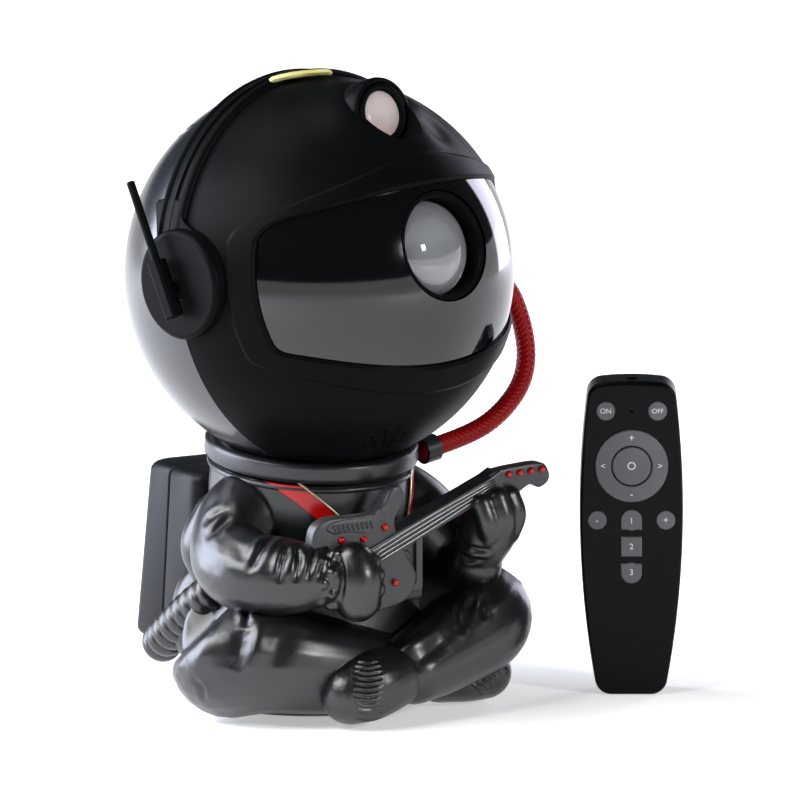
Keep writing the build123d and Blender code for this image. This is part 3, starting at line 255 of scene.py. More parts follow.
finishes = {
    softTouchAbs: ["helmet_front", "headband", "right_ear_cup", "left_ear_cup", "laser_bezel", "lens_hood",
                   "antenna_holder", "antenna_rod", "mode_button"],
    polishedAbs: ["helmet_back"],
    lacqueredVinyl: ["chest_shell", "back_shell", "right_arm", "left_arm", "right_leg", "left_leg",
                     "right_boot", "left_boot", "breathing_tube"],
    graphitePaint: ["neck_collar", "hose_ferrule"],
    charcoalPaint: ["backpack_shell", "backpack_cover", "base_plate"],
    pewterPaint: ["guitar", "control_box"],
    redEnamel: ["chest_straps", "guitar_studs"],
    smokedPolycarbonate: ["visor"],
    clearAcrylic: ["nebula_lens", "effect_wheel"],
    opalAcrylic: ["laser_window"],
    braidedPolyester: ["red_hose"],
    zincPlate: ["helmet_screws", "base_screws", "head_plate", "neck_magnet", "laser_module",
                "wheel_motor"],
    extrudedAluminium: ["heat_sink"],
    solderMask: ["led_board", "control_board", "remote_board"],
    naturalNylon: ["light_frame", "speaker", "motor_pinion"],
    nitrileRubber: ["rubber_feet"],
    sparkedAbs: ["remote_top", "remote_bottom", "battery_door"],
    siliconeRubber: [name for name in nodes if name.startswith("key_")],
    cellSleeve: ["batteries"],
}
for material, names in finishes.items():
    for name in names:
        nodes[name].data.materials.clear()
        nodes[name].data.materials.append(material)
print("materials made")


def dress(piece, material, replaced=(), body=None):
    piece.data.materials.clear()
    piece.data.materials.append(material)
    if body:
        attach(piece, body)
    if replaced:
        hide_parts(*replaced)


def newPiece(name, points, faces, material, body, replaced=(), sharp=None):
    # sharp is the angle in degrees from which an edge shows as a crease
    mesh = bpy.data.meshes.new(name)
    mesh.from_pydata(np.asarray(points, float).tolist(), [], faces)
    mesh.validate()
    mesh.shade_smooth()
    piece = placed(name, mesh)
    dress(piece, material, replaced, body)
    outwards(piece)
    if sharp:
        mesh.set_sharp_from_angle(angle=radians(sharp))
    return piece


def gridFaces(rows, columns, closeRows=False, closeColumns=True, caps=False):
    faces = []
    for i in range(rows if closeRows else rows - 1):
        a, b = i * columns, (i + 1) % rows * columns
        for j in range(columns if closeColumns else columns - 1):
            k = (j + 1) % columns
            faces.append((a + j, a + k, b + k, b + j))
    if caps:
        last = (rows - 1) * columns
        faces += [tuple(range(columns)), tuple(range(last, last + columns))]
    return faces


def outwards(piece):
    # every face turned to look out of the closed piece
    solid = bmesh.new()
    solid.from_mesh(piece.data)
    bmesh.ops.recalc_face_normals(solid, faces=solid.faces)
    solid.to_mesh(piece.data)
    solid.free()


def bakeModifiers(piece):
    shaped = piece.evaluated_get(bpy.context.evaluated_depsgraph_get())
    mesh = bpy.data.meshes.new_from_object(shaped)
    piece.modifiers.clear()
    piece.data = mesh
    piece.data.shade_smooth()


def positions(mesh):
    values = np.zeros(len(mesh.vertices) * 3)
    mesh.vertices.foreach_get("co", values)
    return values.reshape(-1, 3)


def normalsOf(mesh):
    values = np.zeros(len(mesh.vertices) * 3)
    mesh.vertex_normals.foreach_get("vector", values)
    return values.reshape(-1, 3)


def setPositions(mesh, points):
    mesh.vertices.foreach_set("co", points.ravel())
    mesh.update()


def throughPoints(fours, steps):
    # Catmull-Rom lines between the middle two of each four points
    return [0.5 * (2 * b + (c - a) * t + (2 * a - 5 * b + 4 * c - d) * t ** 2
                   + (3 * b - a - 3 * c + d) * t ** 3)
            for a, b, c, d in fours for t in np.arange(steps) / steps]


def smoothLine(points, steps):
    # the points may carry more than three numbers each
    points = np.asarray(points, float)
    ends = np.vstack([2 * points[0] - points[1], points, 2 * points[-1] - points[-2]])
    return np.array([*throughPoints(zip(ends, ends[1:], ends[2:], ends[3:]), steps), points[-1]])


def smoothLoop(points, steps):
    points = np.asarray(points, float)
    count = len(points)
    fours = [[points[(k + i) % count] for i in (-1, 0, 1, 2)] for k in range(count)]
    return np.array(throughPoints(fours, steps))


def voxelSkin(name, balls, voxel, softness, material, replaced, extra=()):
    # one skin round rows of balls, each ball given as x, y, z and radius in mm
    clay = bmesh.new()
    for row in [balls, *extra]:
        for x, y, z, radius in smoothLine(row, 12) if len(row) > 1 else row:
            bmesh.ops.create_icosphere(clay, subdivisions=3, radius=radius * mm,
                                       matrix=Matrix.Translation((x * mm, y * mm, z * mm)))
    mesh = bpy.data.meshes.new(name)
    clay.to_mesh(mesh)
    clay.free()
    piece = placed(name, mesh)
    remesh = piece.modifiers.new("remesh", "REMESH")
    remesh.mode, remesh.voxel_size = "VOXEL", voxel * mm
    soften = piece.modifiers.new("soften", "SMOOTH")
    soften.factor, soften.iterations = 0.6, softness
    bakeModifiers(piece)
    dress(piece, material, replaced, "figure")
    return piece


def treeOf(piece):
    mesh = piece.data
    return BVHTree.FromPolygons([v.co for v in mesh.vertices], [p.vertices for p in mesh.polygons])


# how a stroke of the modelling tool changes the surface; x is the distance from its line in widths
strokeShapes = {
    "crease": lambda x: -np.exp(-2.4 * x ** 2) + 0.4 * np.exp(-1.8 * (np.abs(x) - 1.5) ** 2),
    "ridge": lambda x: np.exp(-1.6 * x ** 2),
    "dent": lambda x: -np.exp(-1.6 * x ** 2),
}


def strokeOnSurface(tree, path):
    # two numbers are a place in the camera's frame, cast along its ray; three are mm, snapped to the surface
    found = []
    for place in smoothLine(path, 10):
        if len(place) == 2:
            hit = tree.ray_cast(eye, pixelRay(place))[0]
        else:
            hit = tree.find_nearest(Vector(place) * mm)[0]
        if hit is not None:
            found.append(hit)
    return np.array(found)


def sculpt(piece, strokes):
    mesh, tree = piece.data, treeOf(piece)
    points, normals = positions(mesh), normalsOf(mesh)
    for shape, width, depth, path in strokes:
        line = strokeOnSurface(tree, path)
        if len(line) < 3:
            print("stroke missed", piece.name, path[0])
            continue
        reach = 3.2 * width * mm
        near = np.where(((points > line.min(0) - reach) & (points < line.max(0) + reach)).all(1))[0]
        away = np.linalg.norm(points[near, None] - line[None], axis=2)
        along = away.argmin(1) / (len(line) - 1)
        taper = np.sin(pi * np.clip(along, 0.02, 0.98)) ** 0.5
        lift = strokeShapes[shape](away.min(1) / (width * mm)) * taper * depth * mm
        points[near] += normals[near] * lift[:, None]
    setPositions(mesh, points)


# the head's own axes, and the seam's, which lean a little against them
headCentre = Vector(joints["head_tilt"]["pos_m"])
headX = Vector(joints["head_tilt"]["axis"]).normalized()
headFront = Vector(joints["wheel_spin"]["axis"]).normalized()
headUp = headFront.cross(headX)
neckUp = Vector(joints["neck_turn"]["axis"]).normalized()
neckBase = Vector(joints["neck_turn"]["pos_m"])

helmet = {
    "radius": 70, "wall": 2.4,
    "seamLean": 7,                 # degrees
    "brow": 10.5, "browRise": 0.8,   # the raised surround of the visor: width and height
    "browSoft": 1.3,
    "lip": 0.9, "lipWidth": 1.6,   # round of the edge along the visor
    "edgeSearch": (8, 75, 28), "seamSearch": (40, 140),   # degrees; the last of the first for the crown
    "laserElevation": 46.4, "laserLevel": 69.3, "laserHole": 11.3, "laserDrill": 24.0, "drillBehind": 6,
    "moundRim": 14.5, "moundRise": 2.4, "moundReach": 33,
    "thickWall": (12.0, 14, 6),    # more wall behind the laser: how much, how far out, and how softly it ends
    "scoop": (17.5, -10.5, 6.5, 1.9),   # beside and below the laser: across, along, radius and depth
    "spokes": 320, "rings": 96,
    "holeRadius": 0.65, "holeRing": 3.8, "holeDepth": 16, "speakerAzimuth": -22, "speakerElevation": -66,
}
seamTilt = Matrix.Rotation(-radians(helmet["seamLean"]), 3, headX)
seamUp, seamFront = seamTilt @ headUp, seamTilt @ headFront
if seamUp.dot(headFront) < 0:
    seamTilt = seamTilt.inverted()
    seamUp, seamFront = seamTilt @ headUp, seamTilt @ headFront


def aroundHead(spoke, away):
    # direction at an angle away from straight ahead, on a spoke that starts at the head's left
    across = headX * cos(spoke) + headUp * sin(spoke)
    return headFront * cos(away) + across * sin(away)


def visorEdge(tree, spoke):
    # angle from straight ahead at which the helmet starts, seen from the ball's centre
    low, high, crown = helmet["edgeSearch"]
    near, far = radians(low), radians(high if sin(spoke) < 0.9 else crown)   # ends short of the laser
    for _ in range(16):
        middle = (near + far) / 2
        way = aroundHead(spoke, middle)
        hit = tree.ray_cast(headCentre + way * 60 * mm, way, 14 * mm)[0]
        near, far = (middle, far) if hit is None else (near, middle)
    return far


def seamAngle(spoke):
    near, far = (radians(angle) for angle in helmet["seamSearch"])
    for _ in range(16):
        middle = (near + far) / 2
        near, far = (middle, far) if aroundHead(spoke, middle).dot(seamFront) > 0 else (near, middle)
    return near


def smoothStep(value):
    value = np.clip(value, 0, 1)
    return value * value * (3 - 2 * value)


laserDirection = (headFront * cos(radians(helmet["laserElevation"]))
                  + headUp * sin(radians(helmet["laserElevation"])))
laserSeat = headCentre + laserDirection * helmet["laserLevel"] * mm
laserAlong = laserDirection.cross(headX)
if laserAlong.dot(headUp) < 0:
    laserAlong = -laserAlong


def helmetRise(direction, edge):
    # height of the outer face over the plain ball, in mm; edge is the distance from the visor's edge
    rise = helmet["browRise"] * (1 - smoothStep((edge - helmet["brow"]) / helmet["browSoft"]))
    rise -= helmet["lip"] * (1 - smoothStep(edge / helmet["lipWidth"])) ** 2
    radius = helmet["radius"]
    fromLaser = radius * direction.angle(laserDirection)
    hill = 1 - smoothStep((fromLaser - helmet["moundRim"]) / (helmet["moundReach"] - helmet["moundRim"]))
    across, along = direction.dot(headX) * radius, direction.dot(laserAlong) * radius
    atX, atY, wide, deep = helmet["scoop"]
    scoop = np.exp(-(((across - atX) / wide) ** 2 + ((along - atY) / wide) ** 2) ** 1.3)
    return rise + helmet["moundRise"] * hill ** 1.4 - deep * scoop


def makeHelmetFront():
    tree = treeOf(nodes["helmet_front"])
    spokes, rings, radius = helmet["spokes"], helmet["rings"], helmet["radius"]
    more, thickReach, thickSoft = helmet["thickWall"]
    outer, inner = [], []
    for i in range(spokes):
        spoke = 2 * pi * i / spokes
        start, end = visorEdge(tree, spoke), seamAngle(spoke)
        for j in range(rings):
            step = j / (rings - 1)
            away = start + (end - start) * step ** 1.35   # rings crowd together beside the visor
            direction = aroundHead(spoke, away)
            rise = helmetRise(direction, radius * (away - start))
            outer.append(headCentre + direction * (radius + rise) * mm)
            thick = 1 - smoothStep((radius * direction.angle(laserDirection) - thickReach) / thickSoft)
            inner.append(headCentre + direction * (radius - helmet["wall"] - more * thick) * mm)
    count = spokes * rings
    grid = gridFaces(spokes, rings, True, False)
    faces = [tuple(reversed(face)) for face in grid] + [tuple(k + count for k in face) for face in grid]
    for i in range(spokes):
        a, b = i * rings, (i + 1) % spokes * rings
        faces.append((a, b, b + count, a + count))
        last = rings - 1
        faces.append((a + last, a + last + count, b + last + count, b + last))
    shell = newPiece("helmetFront", outer + inner, faces, softTouchAbs, "head", ["helmet_front"])
    cutHoles(shell)


def cutHoles(shell):
    # the laser's seat and the three rings of sound holes, all in one cut
    tool = bmesh.new()

    def addDrill(direction, middle, radius, segments, depth):
        turned = direction.to_track_quat("Z", "Y").to_matrix().to_4x4()
        bmesh.ops.create_cone(tool, cap_ends=True, segments=segments, depth=depth * mm, radius1=radius * mm,
                              radius2=radius * mm, matrix=Matrix.Translation(middle) @ turned)

    depth = helmet["laserDrill"]
    middle = laserSeat + headFront * (depth / 2 - helmet["drillBehind"]) * mm
    addDrill(headFront, middle, helmet["laserHole"], 72, depth)
    turn, rise = radians(helmet["speakerAzimuth"]), radians(helmet["speakerElevation"])
    speaker = headX * cos(rise) * sin(turn) + headFront * cos(rise) * cos(turn) + headUp * sin(rise)
    across = (headX - speaker * headX.dot(speaker)).normalized()
    along = speaker.cross(across)
    for count, ring in ((1, 0), (6, 1), (9, 2)):
        for x, y in circle(count):
            aside = (across * x + along * y) * ring * helmet["holeRing"]
            middle = headCentre + (speaker * helmet["radius"] + aside) * mm
            addDrill(speaker, middle, helmet["holeRadius"], 16, helmet["holeDepth"])
    mesh = bpy.data.meshes.new("drills")
    tool.to_mesh(mesh)
    tool.free()
    drills = placed("drills", mesh)
    cut = shell.modifiers.new("cut", "BOOLEAN")
    cut.operation, cut.solver, cut.object = "DIFFERENCE", "EXACT", drills
    bakeModifiers(shell)
    bpy.data.objects.remove(drills)
    shell.data.set_sharp_from_angle(angle=radians(38))


makeHelmetFront()
print("helmet front made")

# the suit: each row is a string of balls, x, y, z and radius in mm, that the skin is drawn round
suit = {
    "voxel": 0.8, "bootVoxel": 0.45,
    "rightArm": [(-29, -6, 76, 12), (-34, -9, 69, 15.5), (-42.5, -18, 59, 15), (-43, -31, 55, 14.6),
                 (-34, -42, 54.5, 13.8), (-22, -49.5, 54.5, 10)],
    "rightSide": [(-33, 8, 68, 9.5), (-37.5, 8, 58.5, 10), (-35, 8, 50, 9)],
    "rightGlove": [(-13.5, -55, 60.5, 7.0), (-12.8, -56.5, 54, 8.6), (-12.8, -56, 46.5, 8.2)],
    "rightKnuckles": [(-8.2, -58, 60.5, 3.6), (-6.9, -58.5, 55.5, 3.7), (-6.8, -58.5, 50.2, 3.7),
                      (-7.9, -58, 45.2, 3.5)],
    "leftArm": [(31, -6, 75, 11), (37, -10, 67, 14), (49, -19, 53, 12.8), (48, -31, 49, 11),
                (46.5, -38, 52, 9.6)],
    "leftGlove": [(46.5, -41, 57.5, 9.4), (47.3, -45, 65, 10.9), (48.2, -46, 70.5, 10.9)],
    "leftFingers": [[(40.5, -52, 75.5, 4.1), (42.4, -53.6, 68, 4.2), (44.6, -51, 61.5, 4)],
                    [(46.6, -52.8, 77.2, 4.3), (48.2, -54.3, 69.4, 4.4), (49, -51, 62.5, 4.1)],
                    [(52.9, -50.6, 77, 4.2), (54.4, -51.7, 70.4, 4.3), (53.4, -49.6, 63.5, 4)],
                    [(56.8, -46.2, 74, 3.8), (57.4, -46.6, 69.4, 3.8), (56, -46.4, 65, 3.7)]],
    "rightHip": [(-30, 16, 46, 8), (-33, 18, 38, 11), (-31, 20, 26, 14)],
    "rightLeg": [(-20, -3, 28, 23.5), (-34, -13, 27, 24.5), (-46, -22, 22, 20.5), (-37, -33, 24, 20),
                 (-15, -38, 20, 17.5), (8, -36, 16.5, 14.2), (24, -34, 14, 11.5)],
    "leftLeg": [(22, -3, 28, 21), (38, -14, 31, 20.5), (54, -27, 31.5, 17.8), (48, -37, 27.5, 17),
                (30, -44, 22.5, 15.5), (13, -51, 18.5, 13.2)],
    "leftBoot": [(3, -53, 16.5, 11.5), (-7, -55, 14.5, 12.4), (-15, -55, 12.4, 11.0)],
    "rightBoot": [(34, -33, 11.5, 10.5), (44, -35.5, 11.2, 10.4), (51, -36, 11.2, 10)],
    "cuff": {"centre": (-21.5, -50.2, 54.4), "way": (0.86, -0.5, -0.08), "radius": 9.6, "knots": 15,
             "zigzag": 1.7},
    "belt": (44.0, 46.5, 49.0), "beltRise": 1.3,
}


def knottedRing(centre, way, radius, knots, zigzag):
    # a lumpy band round the wrist: small balls that zigzag a little along the arm
    way = Vector(way).normalized()
    across = way.orthogonal().normalized()
    balls = []
    for k, (x, y) in enumerate(circle(knots)):
        side = across * x + way.cross(across) * y
        place = Vector(centre) + side * radius + way * (zigzag if k % 2 else -zigzag)
        balls.append([(*place, 1.9 + 0.4 * (k % 3 == 0))])
    return balls


def latheSurface(profile, spokes, ceiling):
    # rings round the upright axis, cut off below a ceiling that each place works out
    points = [(radius * x * mm, radius * y * mm, min(height, ceiling(radius * y)) * mm)
              for radius, height in profile for x, y in circle(spokes)]
    return points, gridFaces(len(profile), spokes, caps=True)


def shoulderPlane(y):
    # height of the plane, square to the neck, on which the collar turns
    return torso["neckHeight"] + (torso["neckRise"] - neckUp.y * y) / neckUp.z


torso = {
    "line": [(39.5, 1.6), (43, 20), (40, 42), (36.2, 62), (36.4, 78), (35, 95.5)],   # radius and height
    "dish": [(33.2, 95.5), (32.6, 82), (0.5, 81.6)],   # under the collar, clear of the helmet's ball
    "neckHeight": 84, "neckRise": 3.1, "beltWidth": 0.75, "chestMargin": (3, 2.5),
}
torsoLine = smoothLine(torso["line"], 14)
straps = {
    # inner edges: x and height, top and foot
    "right": ((-22.5, 86), (-6.5, 71)), "left": ((27.5, 86), (24, 69)),
    "chestFloor": 62, "piping": 0.42, "pipingRise": 1.0, "pipingFoot": {"right": 70.5, "left": 68.5},
}


def torsoRadius(height):
    return float(np.interp(height, torsoLine[:, 1], torsoLine[:, 0]))


def strapEdge(side, height):
    (topX, topZ), (lowX, lowZ) = straps[side]
    return topX + (lowX - topX) * (height - topZ) / (lowZ - topZ)


def makeTorso():
    outline = [(38, 1)]
    for radius, height in torsoLine:
        ridge = max(np.exp(-((height - ring) / torso["beltWidth"]) ** 2) for ring in suit["belt"])
        outline.append((radius + suit["beltRise"] * ridge, height))
    points, faces = latheSurface([*outline, *torso["dish"]], 144, shoulderPlane)
    body = newPiece("suitBody", points, faces, lacqueredVinyl, "figure", ["chest_shell", "back_shell"])
    body.data.materials.append(chestPaint)
    right, left = torso["chestMargin"]
    for face in body.data.polygons:
        x, y, z = face.center / mm
        onChest = strapEdge("right", z) - right < x < strapEdge("left", z) + left
        if y < 0 and z > straps["chestFloor"] and onChest:
            face.material_index = 1


makeTorso()
knuckles = [[ball] for ball in suit["rightKnuckles"]]
# each limb: name, voxel in mm, rounds of softening, the node it stands for, and more rows of balls
limbs = {}
for limb, name, voxel, softness, node, extra in (
        ("rightArm", "rightSleeve", suit["voxel"], 3, "right_arm",
         [suit["rightSide"], suit["rightGlove"], *knuckles, *knottedRing(**suit["cuff"])]),
        ("leftArm", "leftSleeve", suit["voxel"], 3, "left_arm", [suit["leftGlove"], *suit["leftFingers"]]),
        ("rightLeg", "rightTrouser", suit["voxel"], 4, "right_leg", [suit["rightHip"]]),
        ("leftLeg", "leftTrouser", suit["voxel"], 4, "left_leg", []),
        ("leftBoot", "leftBootSkin", suit["bootVoxel"], 8, "left_boot", []),
        ("rightBoot", "rightBootSkin", suit["bootVoxel"], 8, "right_boot", [])):
    limbs[limb] = voxelSkin(name, suit[limb], voxel, softness, lacqueredVinyl, [node], extra)

# folds: shape, width and depth in mm, and the places in the camera's frame that the stroke runs through
folds = {
    "rightArm": [
        ("crease", 2.0, 1.1, [(277, 534), (264, 545), (250, 569)]),
        ("crease", 1.5, 1.3, [(279, 580), (283, 560), (288, 548)]),
        ("crease", 1.4, 1.3, [(296, 579), (299, 560), (297, 546)]),
        ("crease", 1.3, 1.2, [(308, 577), (312, 560), (316, 544)]),
        ("crease", 1.2, 1.0, [(320, 574), (324, 562), (328, 552)]),
        ("crease", 2.2, 0.9, [(207, 521), (216, 514), (230, 509)]),
        ("crease", 2.2, 0.9, [(211, 536), (220, 526), (232, 515)]),
        ("crease", 2.0, 1.2, [(258, 486), (268, 498), (276, 516)]),
        ("dent", 4.0, 1.0, [(232, 545), (245, 556), (262, 560)]),
        ("crease", 1.2, 1.0, [(338, 556), (343, 575), (341, 598)]),
    ],
    "leftArm": [
        ("crease", 1.6, 1.3, [(456, 538), (468, 547), (486, 551), (497, 543)]),
        ("crease", 1.4, 1.0, [(460, 554), (469, 560), (481, 558)]),
    ],
    "rightLeg": [
        ("crease", 1.8, 1.6, [(245, 596), (246, 610), (247, 624)]),
        ("ridge", 1.8, 1.3, [(238, 597), (240, 607), (245, 620)]),
        ("ridge", 1.8, 1.3, [(254, 597), (252, 608), (249, 622)]),
        ("dent", 5.0, 1.6, [(247, 628), (241, 648), (234, 672)]),
        ("ridge", 4.0, 1.3, [(262, 612), (256, 640), (246, 672)]),
        ("ridge", 5.0, 1.2, [(222, 626), (206, 648), (190, 668)]),
        ("crease", 1.6, 0.9, [(195, 681), (201, 688), (203, 698)]),
        ("dent", 5.0, 1.0, [(285, 628), (277, 655), (262, 690)]),
    ],
    "leftLeg": [
        ("crease", 1.6, 1.5, [(459, 604), (459, 615), (462, 630)]),
        ("crease", 1.6, 1.4, [(475, 597), (469, 609), (465, 624)]),
        ("crease", 1.4, 1.0, [(482, 598), (481, 607), (483, 616)]),
        ("ridge", 3.2, 1.5, [(455, 609), (437, 629), (412, 645), (396, 652)]),
        ("ridge", 3.6, 1.2, [(516, 586), (503, 600), (488, 610)]),
        ("dent", 4.0, 1.2, [(446, 640), (430, 652), (408, 668)]),
        ("ridge", 1.6, 0.7, [(503, 564), (514, 573), (521, 585)]),
    ],
}


def pressFlat(piece, start, end, softness, depth):
    # flattens what stands out past a line between two places in the camera's frame, before a depth in mm
    alongWay = (viewRight * (end[0] - start[0]) - viewUp * (end[1] - start[1])).normalized()
    outWay = alongWay.cross(viewBack) * -1
    origin = eye + pixelRay(start) * camera["distance"]
    mesh = piece.data
    points = positions(mesh)
    beyond = (points - np.array(origin)) @ np.array(outWay) / mm
    near = smoothStep((points @ np.array(viewBack) / mm - depth) / 6)
    pressed = softness * np.log1p(np.exp(np.clip(beyond / softness, -30, 30)))
    points -= np.outer(pressed * near * mm, np.array(outWay))
    setPositions(mesh, points)


thighFlat = {"start": (171, 664), "end": (232, 604), "softness": 1.5, "depth": 24}
pressFlat(limbs["rightLeg"], **thighFlat)
for limb, strokes in folds.items():
    sculpt(limbs[limb], strokes)
# grooves of each sole: where the first one runs, the step from one to the next, and how many there are
soles = {
    "width": 0.62, "depth": 0.75,
    "leftBoot": ([(355, 662), (368, 664), (381, 662)], (0, 5.6), 11),
    "rightBoot": ([(470, 686), (476, 689), (482, 694)], (4, -4.4), 7),
}
for boot in ("leftBoot", "rightBoot"):
    line, (right, down), count = soles[boot]
    grooves = [[(u + right * k, v + down * k) for u, v in line] for k in range(count)]
    sculpt(limbs[boot], [("crease", soles["width"], soles["depth"], groove) for groove in grooves])
print("suit made")

hose = {
    "radius": 3.6, "strandPairs": 8, "pitch": 17, "lift": 0.55, "step": 0.35, "around": 112, "crossing": 0.28,
    # the same points as the part's own route, from the ear cup down to the collar
    "route": [(66.0, 3.5, 152.0), (82.0, 3.4, 147.5), (89.4, 0.0, 126.0), (86.5, -5.0, 110.5),
              (74.0, -10.0, 99.5), (57.5, -14.0, 92.8), (36.5, -16.4, 89.6)],
}


def splinePoints(route):
    # places along the smooth line that has the route as its control points
    curve = bpy.data.curves.new("route", "CURVE")
    curve.dimensions = "3D"
    spline = curve.splines.new("NURBS")
    spline.points.add(len(route) - 1)
    for point, place in zip(spline.points, route):
        point.co = (*[c * mm for c in place], 1)
    spline.order_u, spline.use_endpoint_u, spline.resolution_u = 3, True, 40
    line = placed("route", curve)
    bpy.context.view_layer.update()
    places = [v.co.copy() for v in bpy.data.meshes.new_from_object(line).vertices]
    bpy.data.objects.remove(line)
    return places


def evenly(places, step):
    # the line again, with its places a step apart
    places = np.array(places)
    run = np.concatenate([[0], np.cumsum(np.linalg.norm(np.diff(places, axis=0), axis=1))])
    at = np.linspace(0, run[-1], int(run[-1] / step) + 1)
    return np.stack([np.interp(at, run, places[:, k]) for k in range(3)], 1), run[-1]


def tubeFrames(places):
    # a pair of directions across each place, carried along the line without twist
    ways = np.gradient(places, axis=0)
    ways /= np.linalg.norm(ways, axis=1)[:, None]
    side = np.cross(ways[0], (0, 0, 1.0))
    sides = []
    for way in ways:
        side = side - way * side.dot(way)
        side /= np.linalg.norm(side)
        sides.append(side)
    sides = np.array(sides)
    return sides, np.cross(ways, sides)


def makeHose():
    places, length = evenly(splinePoints(hose["route"]), hose["step"] * mm)
    sides, ups = tubeFrames(places)
    around, pairs = hose["around"], hose["strandPairs"]
    points, heights = [], []
    for k, place in enumerate(places):
        along = k * hose["step"] * 2 * pi / hose["pitch"]
        for j in range(around):
            angle = 2 * pi * j / around
            right, left = ((angle + way * along) * pairs / (2 * pi) for way in (1, -1))
            # two strands cross here, and the one on top changes from cell to cell
            over = hose["crossing"] * sin(pi * (right + left)) * sin(pi * (right - left))
            height = max(abs(cos(pi * right)) ** 0.7 + over, abs(cos(pi * left)) ** 0.7 - over)
            # this height also paints the braid darker in its gaps, as painted shade
            heights.append(min(1, height / 1.15))
            radius = (hose["radius"] - hose["lift"] + hose["lift"] * height * 0.9) * mm
            points.append(place + (sides[k] * cos(angle) + ups[k] * sin(angle)) * radius)
    mesh = bpy.data.meshes.new("redHose")
    mesh.from_pydata([tuple(p) for p in points], [], gridFaces(len(places), around, caps=True))
    mesh.shade_smooth()
    mesh.attributes.new("strand", "FLOAT", "POINT").data.foreach_set("value", heights)
    piece = placed("redHose", mesh)
    outwards(piece)
    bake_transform(piece)
    dress(piece, braidedPolyester, ["red_hose"])
    print("hose length", round(length / mm, 1), "mm")


makeHose()
print("hose made")


def shrunk(outline, amount):
    # the closed flat outline, every point moved inwards
    outline = np.asarray(outline, float)
    ways = np.roll(outline, -1, 0) - np.roll(outline, 1, 0)
    ways /= np.linalg.norm(ways, axis=1)[:, None]
    turning = sum(a[0] * b[1] - a[1] * b[0] for a, b in zip(outline, np.roll(outline, -1, 0)))
    inwards = np.stack([-ways[:, 1], ways[:, 0]], 1) * (1 if turning > 0 else -1)
    return outline + inwards * amount


def raisedPlate(name, outline, toWorld, low, high, bevel, material, body="figure", replaced=()):
    # a plate with a rounded upper edge; toWorld places x, y and height, all in mm
    levels = [(0, low), (0, high - bevel), (0.12, high - 0.6 * bevel), (0.4, high - 0.25 * bevel), (1, high)]
    points = [toWorld(x, y, height) * mm
              for inset, height in levels for x, y in shrunk(outline, inset * bevel)]
    newPiece(name, points, gridFaces(len(levels), len(outline), caps=True), material, body, replaced, 50)


def turnedPiece(name, profile, centre, axis, material, body, replaced=(), spokes=96, closed=False):
    # a lathe piece; the profile is radius and height along the axis, in mm
    axis = Vector(axis).normalized()
    across = axis.orthogonal().normalized()
    along = axis.cross(across)
    points = [Vector(centre) + ((across * x + along * y) * radius + axis * height) * mm
              for radius, height in profile for x, y in circle(spokes)]
    faces = gridFaces(len(profile), spokes, closed, caps=not closed)
    newPiece(name, points, faces, material, body, replaced, 50)


def tubeAlong(name, places, radii, material, body, replaced=(), around=24):
    # a tube round a line of places, with a radius for each, both in mm
    places = np.asarray(places, float)
    rings = zip(places, *tubeFrames(places), radii)
    points = [(place + (side * x + up * y) * radius) * mm
              for place, side, up, radius in rings for x, y in circle(around)]
    newPiece(name, points, gridFaces(len(places), around, caps=True), material, body, replaced)


# the guitar lies in an upright plane that faces front; x runs along its neck
guitar = {
    "centre": (-2.0, -50.0, 59.5), "angle": 24.3, "thickness": 5.0, "rim": 0.9,
    "body": [(-17, 21.5), (-10.5, 22), (-2.5, 18.5), (5, 15.5), (11, 16), (16, 19.5), (19.5, 18.8),
             (20.5, 15.5), (17.5, 11.5), (12.5, 7.5), (12, -4), (12.5, -14), (6, -20), (-4, -19),
             (-14, -15.5), (-22, -8),
             (-24, 4), (-21.5, 15)],
    "head": [(54, -2.7), (59, -7.6), (67, -7.4), (70, -10.4), (74.3, -9.8), (75.8, -6.5), (74.3, -2.4),
             (66, 1.2), (56.5, 4.2), (53, 3.2)],
    "neck": [(-3.6, 4.6), (-0.8, -2.2), (53, -2.8), (56.5, -3.4), (57.5, 3.8), (53, 3.4)],
    "neckDepth": 8.0, "boardRise": 1.0,
    # the raised plate along the upper edge, by places in the camera's frame
    "plate": [(326, 528.5), (332, 523), (346, 519.5), (360, 518.4), (371.5, 516), (379, 509), (384.5, 517),
              (379.4, 521.5), (375.5, 527.5), (368, 533), (356, 532.2), (345, 532.6), (334, 534.4)],
    "plateRise": 0.7,
    "strings": 4, "stringRadius": 0.24, "frets": (4.5, 12.5, 20.5, 28.5, 36.5, 43.5, 50),
    "studs": [(-9.4, 12.8), (-1.3, 8.6), (8.1, 8.3), (3.5, -12)],
    "tuners": [(60.5, 0.6), (64.77, -1.07), (69.03, -2.73), (73.3, -4.4)],
    "stud": [(1.25, 0), (1.3, 0.5), (1.18, 0.9), (0.85, 1.25), (0.4, 1.45), (0.05, 1.5)],
    "bars": 9, "firstBar": (334, 528.6), "barStep": (4.6, -0.5), "barHalf": (0.42, 1.25),
    "fretHalf": 0.22, "fretEnds": (-2.5, 3.4),
    "firstString": -1.6, "stringStep": 1.5, "stringEnds": (-1.8, 25, 54), "stringPinch": 0.62,
}
guitarTurn = radians(guitar["angle"])


def onGuitar(x, y, out):
    cx, cy, cz = guitar["centre"]
    return Vector((cx + x * cos(guitarTurn) - y * sin(guitarTurn), cy - out,
                   cz + x * sin(guitarTurn) + y * cos(guitarTurn)))


def guitarPlace(pixel):
    # flat guitar coordinates under a place in the camera's frame
    cx, cy, cz = guitar["centre"]
    ray = pixelRay(pixel)
    spot = (eye + ray * ((cy * mm - eye.y) / ray.y)) / mm
    x, z = spot.x - cx, spot.z - cz
    return x * cos(guitarTurn) + z * sin(guitarTurn), z * cos(guitarTurn) - x * sin(guitarTurn)


